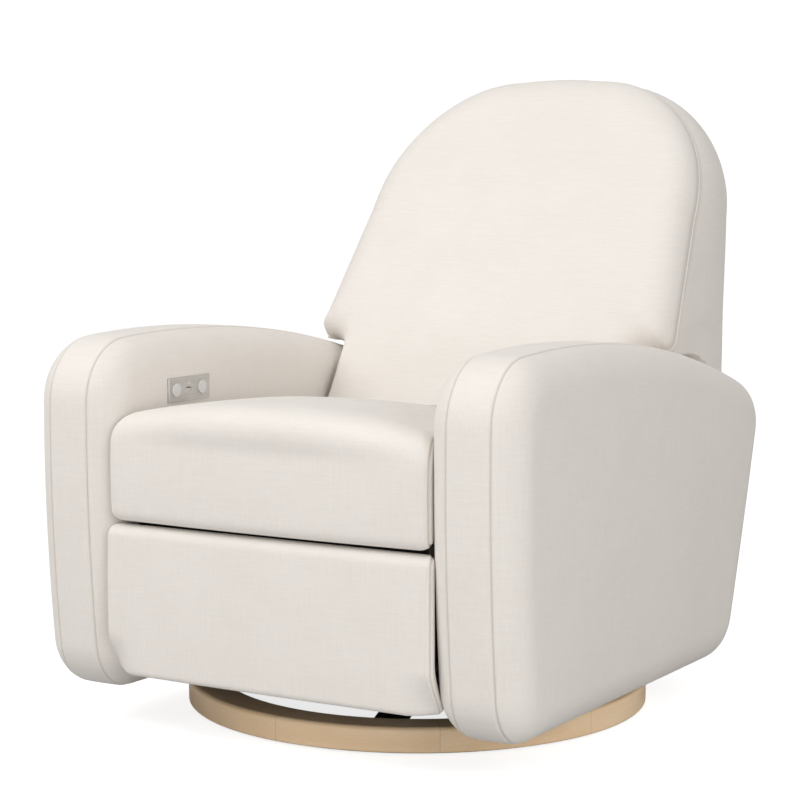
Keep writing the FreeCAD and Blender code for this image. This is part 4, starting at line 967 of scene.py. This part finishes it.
def roundMark():
    low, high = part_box("usb_socket")
    centreY, centreZ = (low[1] + high[1]) / 2, (low[2] + high[2]) / 2 + control["markRise"]
    points, faces, sides = [], [], control["sides"]
    for k in range(control["around"]):
        a = math.tau * k / control["around"]
        for j in range(sides):
            b = math.tau * j / sides
            r = control["markRadius"] + control["markWire"] * math.cos(b)
            rise = 0.5 * control["markWire"] * math.sin(b)
            points.append((faceX + rise, centreY + r * math.cos(a), centreZ + r * math.sin(a)))
        faces += strip(k * sides, (k + 1) % control["around"] * sides, sides)
    return newPiece("socketMark", points, faces, highlightFinish)


edgeY = plateLow[1] + control["edgeInset"]
edgeLine = ridge("plateEdge", (faceX, edgeY, plateLow[2] + control["endInset"]),
                 (faceX, edgeY, plateHigh[2] - control["endInset"]), control["bevel"] / 2, highlightFinish)
fitPiece(edgeLine, "chair")
fitPiece(roundMark(), "chair")
print("control details made")


# Painted shade: a black sheet that hangs under the front of the seat, so the gap below it reads dark

gapShadeSheet = {"half": 244 * mm, "y": -392 * mm, "top": 319 * mm, "low": 301 * mm, "thick": 1.2 * mm,
          "sag": 1.0 * mm, "columns": 61}
# painted shade: the sheet is near black to fill the gap under the seat front with shade
gapShadeFinish = plainFinish("black gap shade sheet", colour(0.012, 0.012, 0.012), colour(0.03, 0.03, 0.03),
                         0.9, 0.0, 1600.0, 0.0002)


def hangingShadeSheet():
    points, faces = [], []
    for share in np.linspace(-1, 1, gapShadeSheet["columns"]):
        hang = gapShadeSheet["sag"] * math.cos(share * math.pi * 3)
        x, front, low = share * gapShadeSheet["half"], gapShadeSheet["y"] + 0.4 * hang, gapShadeSheet["low"] - hang
        rear = front + gapShadeSheet["thick"]
        points += [(x, front, gapShadeSheet["top"]), (x, front, low), (x, rear, low), (x, rear, gapShadeSheet["top"])]
    for k in range(gapShadeSheet["columns"] - 1):
        faces += strip(4 * k, 4 * k + 4, 4)
    faces += [(0, 1, 2, 3), tuple(4 * (gapShadeSheet["columns"] - 1) + j for j in (3, 2, 1, 0))]
    return newPiece("seatGapShade", points, faces, gapShadeFinish)


fitPiece(hangingShadeSheet(), "seat")
print("lining made")


# Finishes for the carried-over parts

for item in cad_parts.values():
    for holder in item.material_slots:
        if holder.material:
            key = holder.material.name.split(".")[0]
            if key in finishes:
                holder.material = finishes[key]
print("carried-over parts finished")


# Stage, light and camera

view = {"place": (1.688, -2.924, 0.833), "turn": (83.86, 0.0, 30.46), "lens": 97.76}
camera = bpy.data.cameras.new("camera")
camera.lens = view["lens"]
camera.sensor_width = 36
camera.clip_end = 60
cameraItem = bpy.data.objects.new("camera", camera)
cameraItem.location = view["place"]
cameraItem.rotation_euler = [math.radians(a) for a in view["turn"]]
scene.collection.objects.link(cameraItem)
scene.camera = cameraItem

bpy.ops.mesh.primitive_plane_add(size=60, location=(0, 0, -0.0005))
floor = bpy.context.object
floor.name = "floor"
floorFinish = Finish("pale floor", 0.9)
floorSeen = floorFinish.nodes.new("ShaderNodeLightPath")
glow = floorFinish.sum("MULTIPLY", floorSeen.outputs["Is Camera Ray"], 0.8)
floorFinish.shader.inputs["Emission Color"].default_value = colour(1, 1, 1)
floorFinish.link(glow, floorFinish.shader.inputs["Emission Strength"])
floor.data.materials.append(floorFinish.paint(colour(0.5, 0.5, 0.5)))

lights = {
    "key": {"at": (-2.6, -2.6, 3.4), "size": 2.4, "power": 80, "aim": (0, 0, 0.45)},
    "top": {"at": (-0.5, -1.0, 4.2), "size": 3.0, "power": 34, "aim": (0, 0, 0.5)},
    "fill": {"at": (4.2, -1.7, 1.7), "size": 3.0, "power": 66, "aim": (0, 0, 0.5)},
    "low": {"at": (0.9, -3.2, 0.35), "size": 1.6, "power": 26, "aim": (0, 0, 0.1)},
    "back": {"at": (0.4, 3.4, 2.6), "size": 2.5, "power": 3, "aim": (0, 0, 0.6)},
}
for word, spec in lights.items():
    lamp = bpy.data.lights.new(word, "AREA")
    lamp.shape = "SQUARE"
    lamp.size = spec["size"]
    lamp.energy = spec["power"]
    lampItem = bpy.data.objects.new(word, lamp)
    lampItem.location = spec["at"]
    lampItem.rotation_euler = (Vector(spec["aim"]) - Vector(spec["at"])).to_track_quat("-Z", "Y").to_euler()
    scene.collection.objects.link(lampItem)

studio = {"ambient": 0.45, "tint": colour(1.0, 0.985, 0.965), "backdrop": 1.05}
world = bpy.data.worlds.new("studio")
world.use_nodes = True
worldNodes, worldLinks = world.node_tree.nodes, world.node_tree.links
soft = worldNodes["Background"]
soft.inputs[0].default_value = studio["tint"]
soft.inputs[1].default_value = studio["ambient"]
backdrop = worldNodes.new("ShaderNodeBackground")
backdrop.inputs[0].default_value = colour(1, 1, 1)
backdrop.inputs[1].default_value = studio["backdrop"]
seen = worldNodes.new("ShaderNodeLightPath")
both = worldNodes.new("ShaderNodeMixShader")
worldLinks.new(seen.outputs["Is Camera Ray"], both.inputs[0])
worldLinks.new(soft.outputs[0], both.inputs[1])
worldLinks.new(backdrop.outputs[0], both.inputs[2])
worldLinks.new(both.outputs[0], worldNodes["World Output"].inputs[0])
scene.world = world
scene.view_settings.view_transform = "Standard"
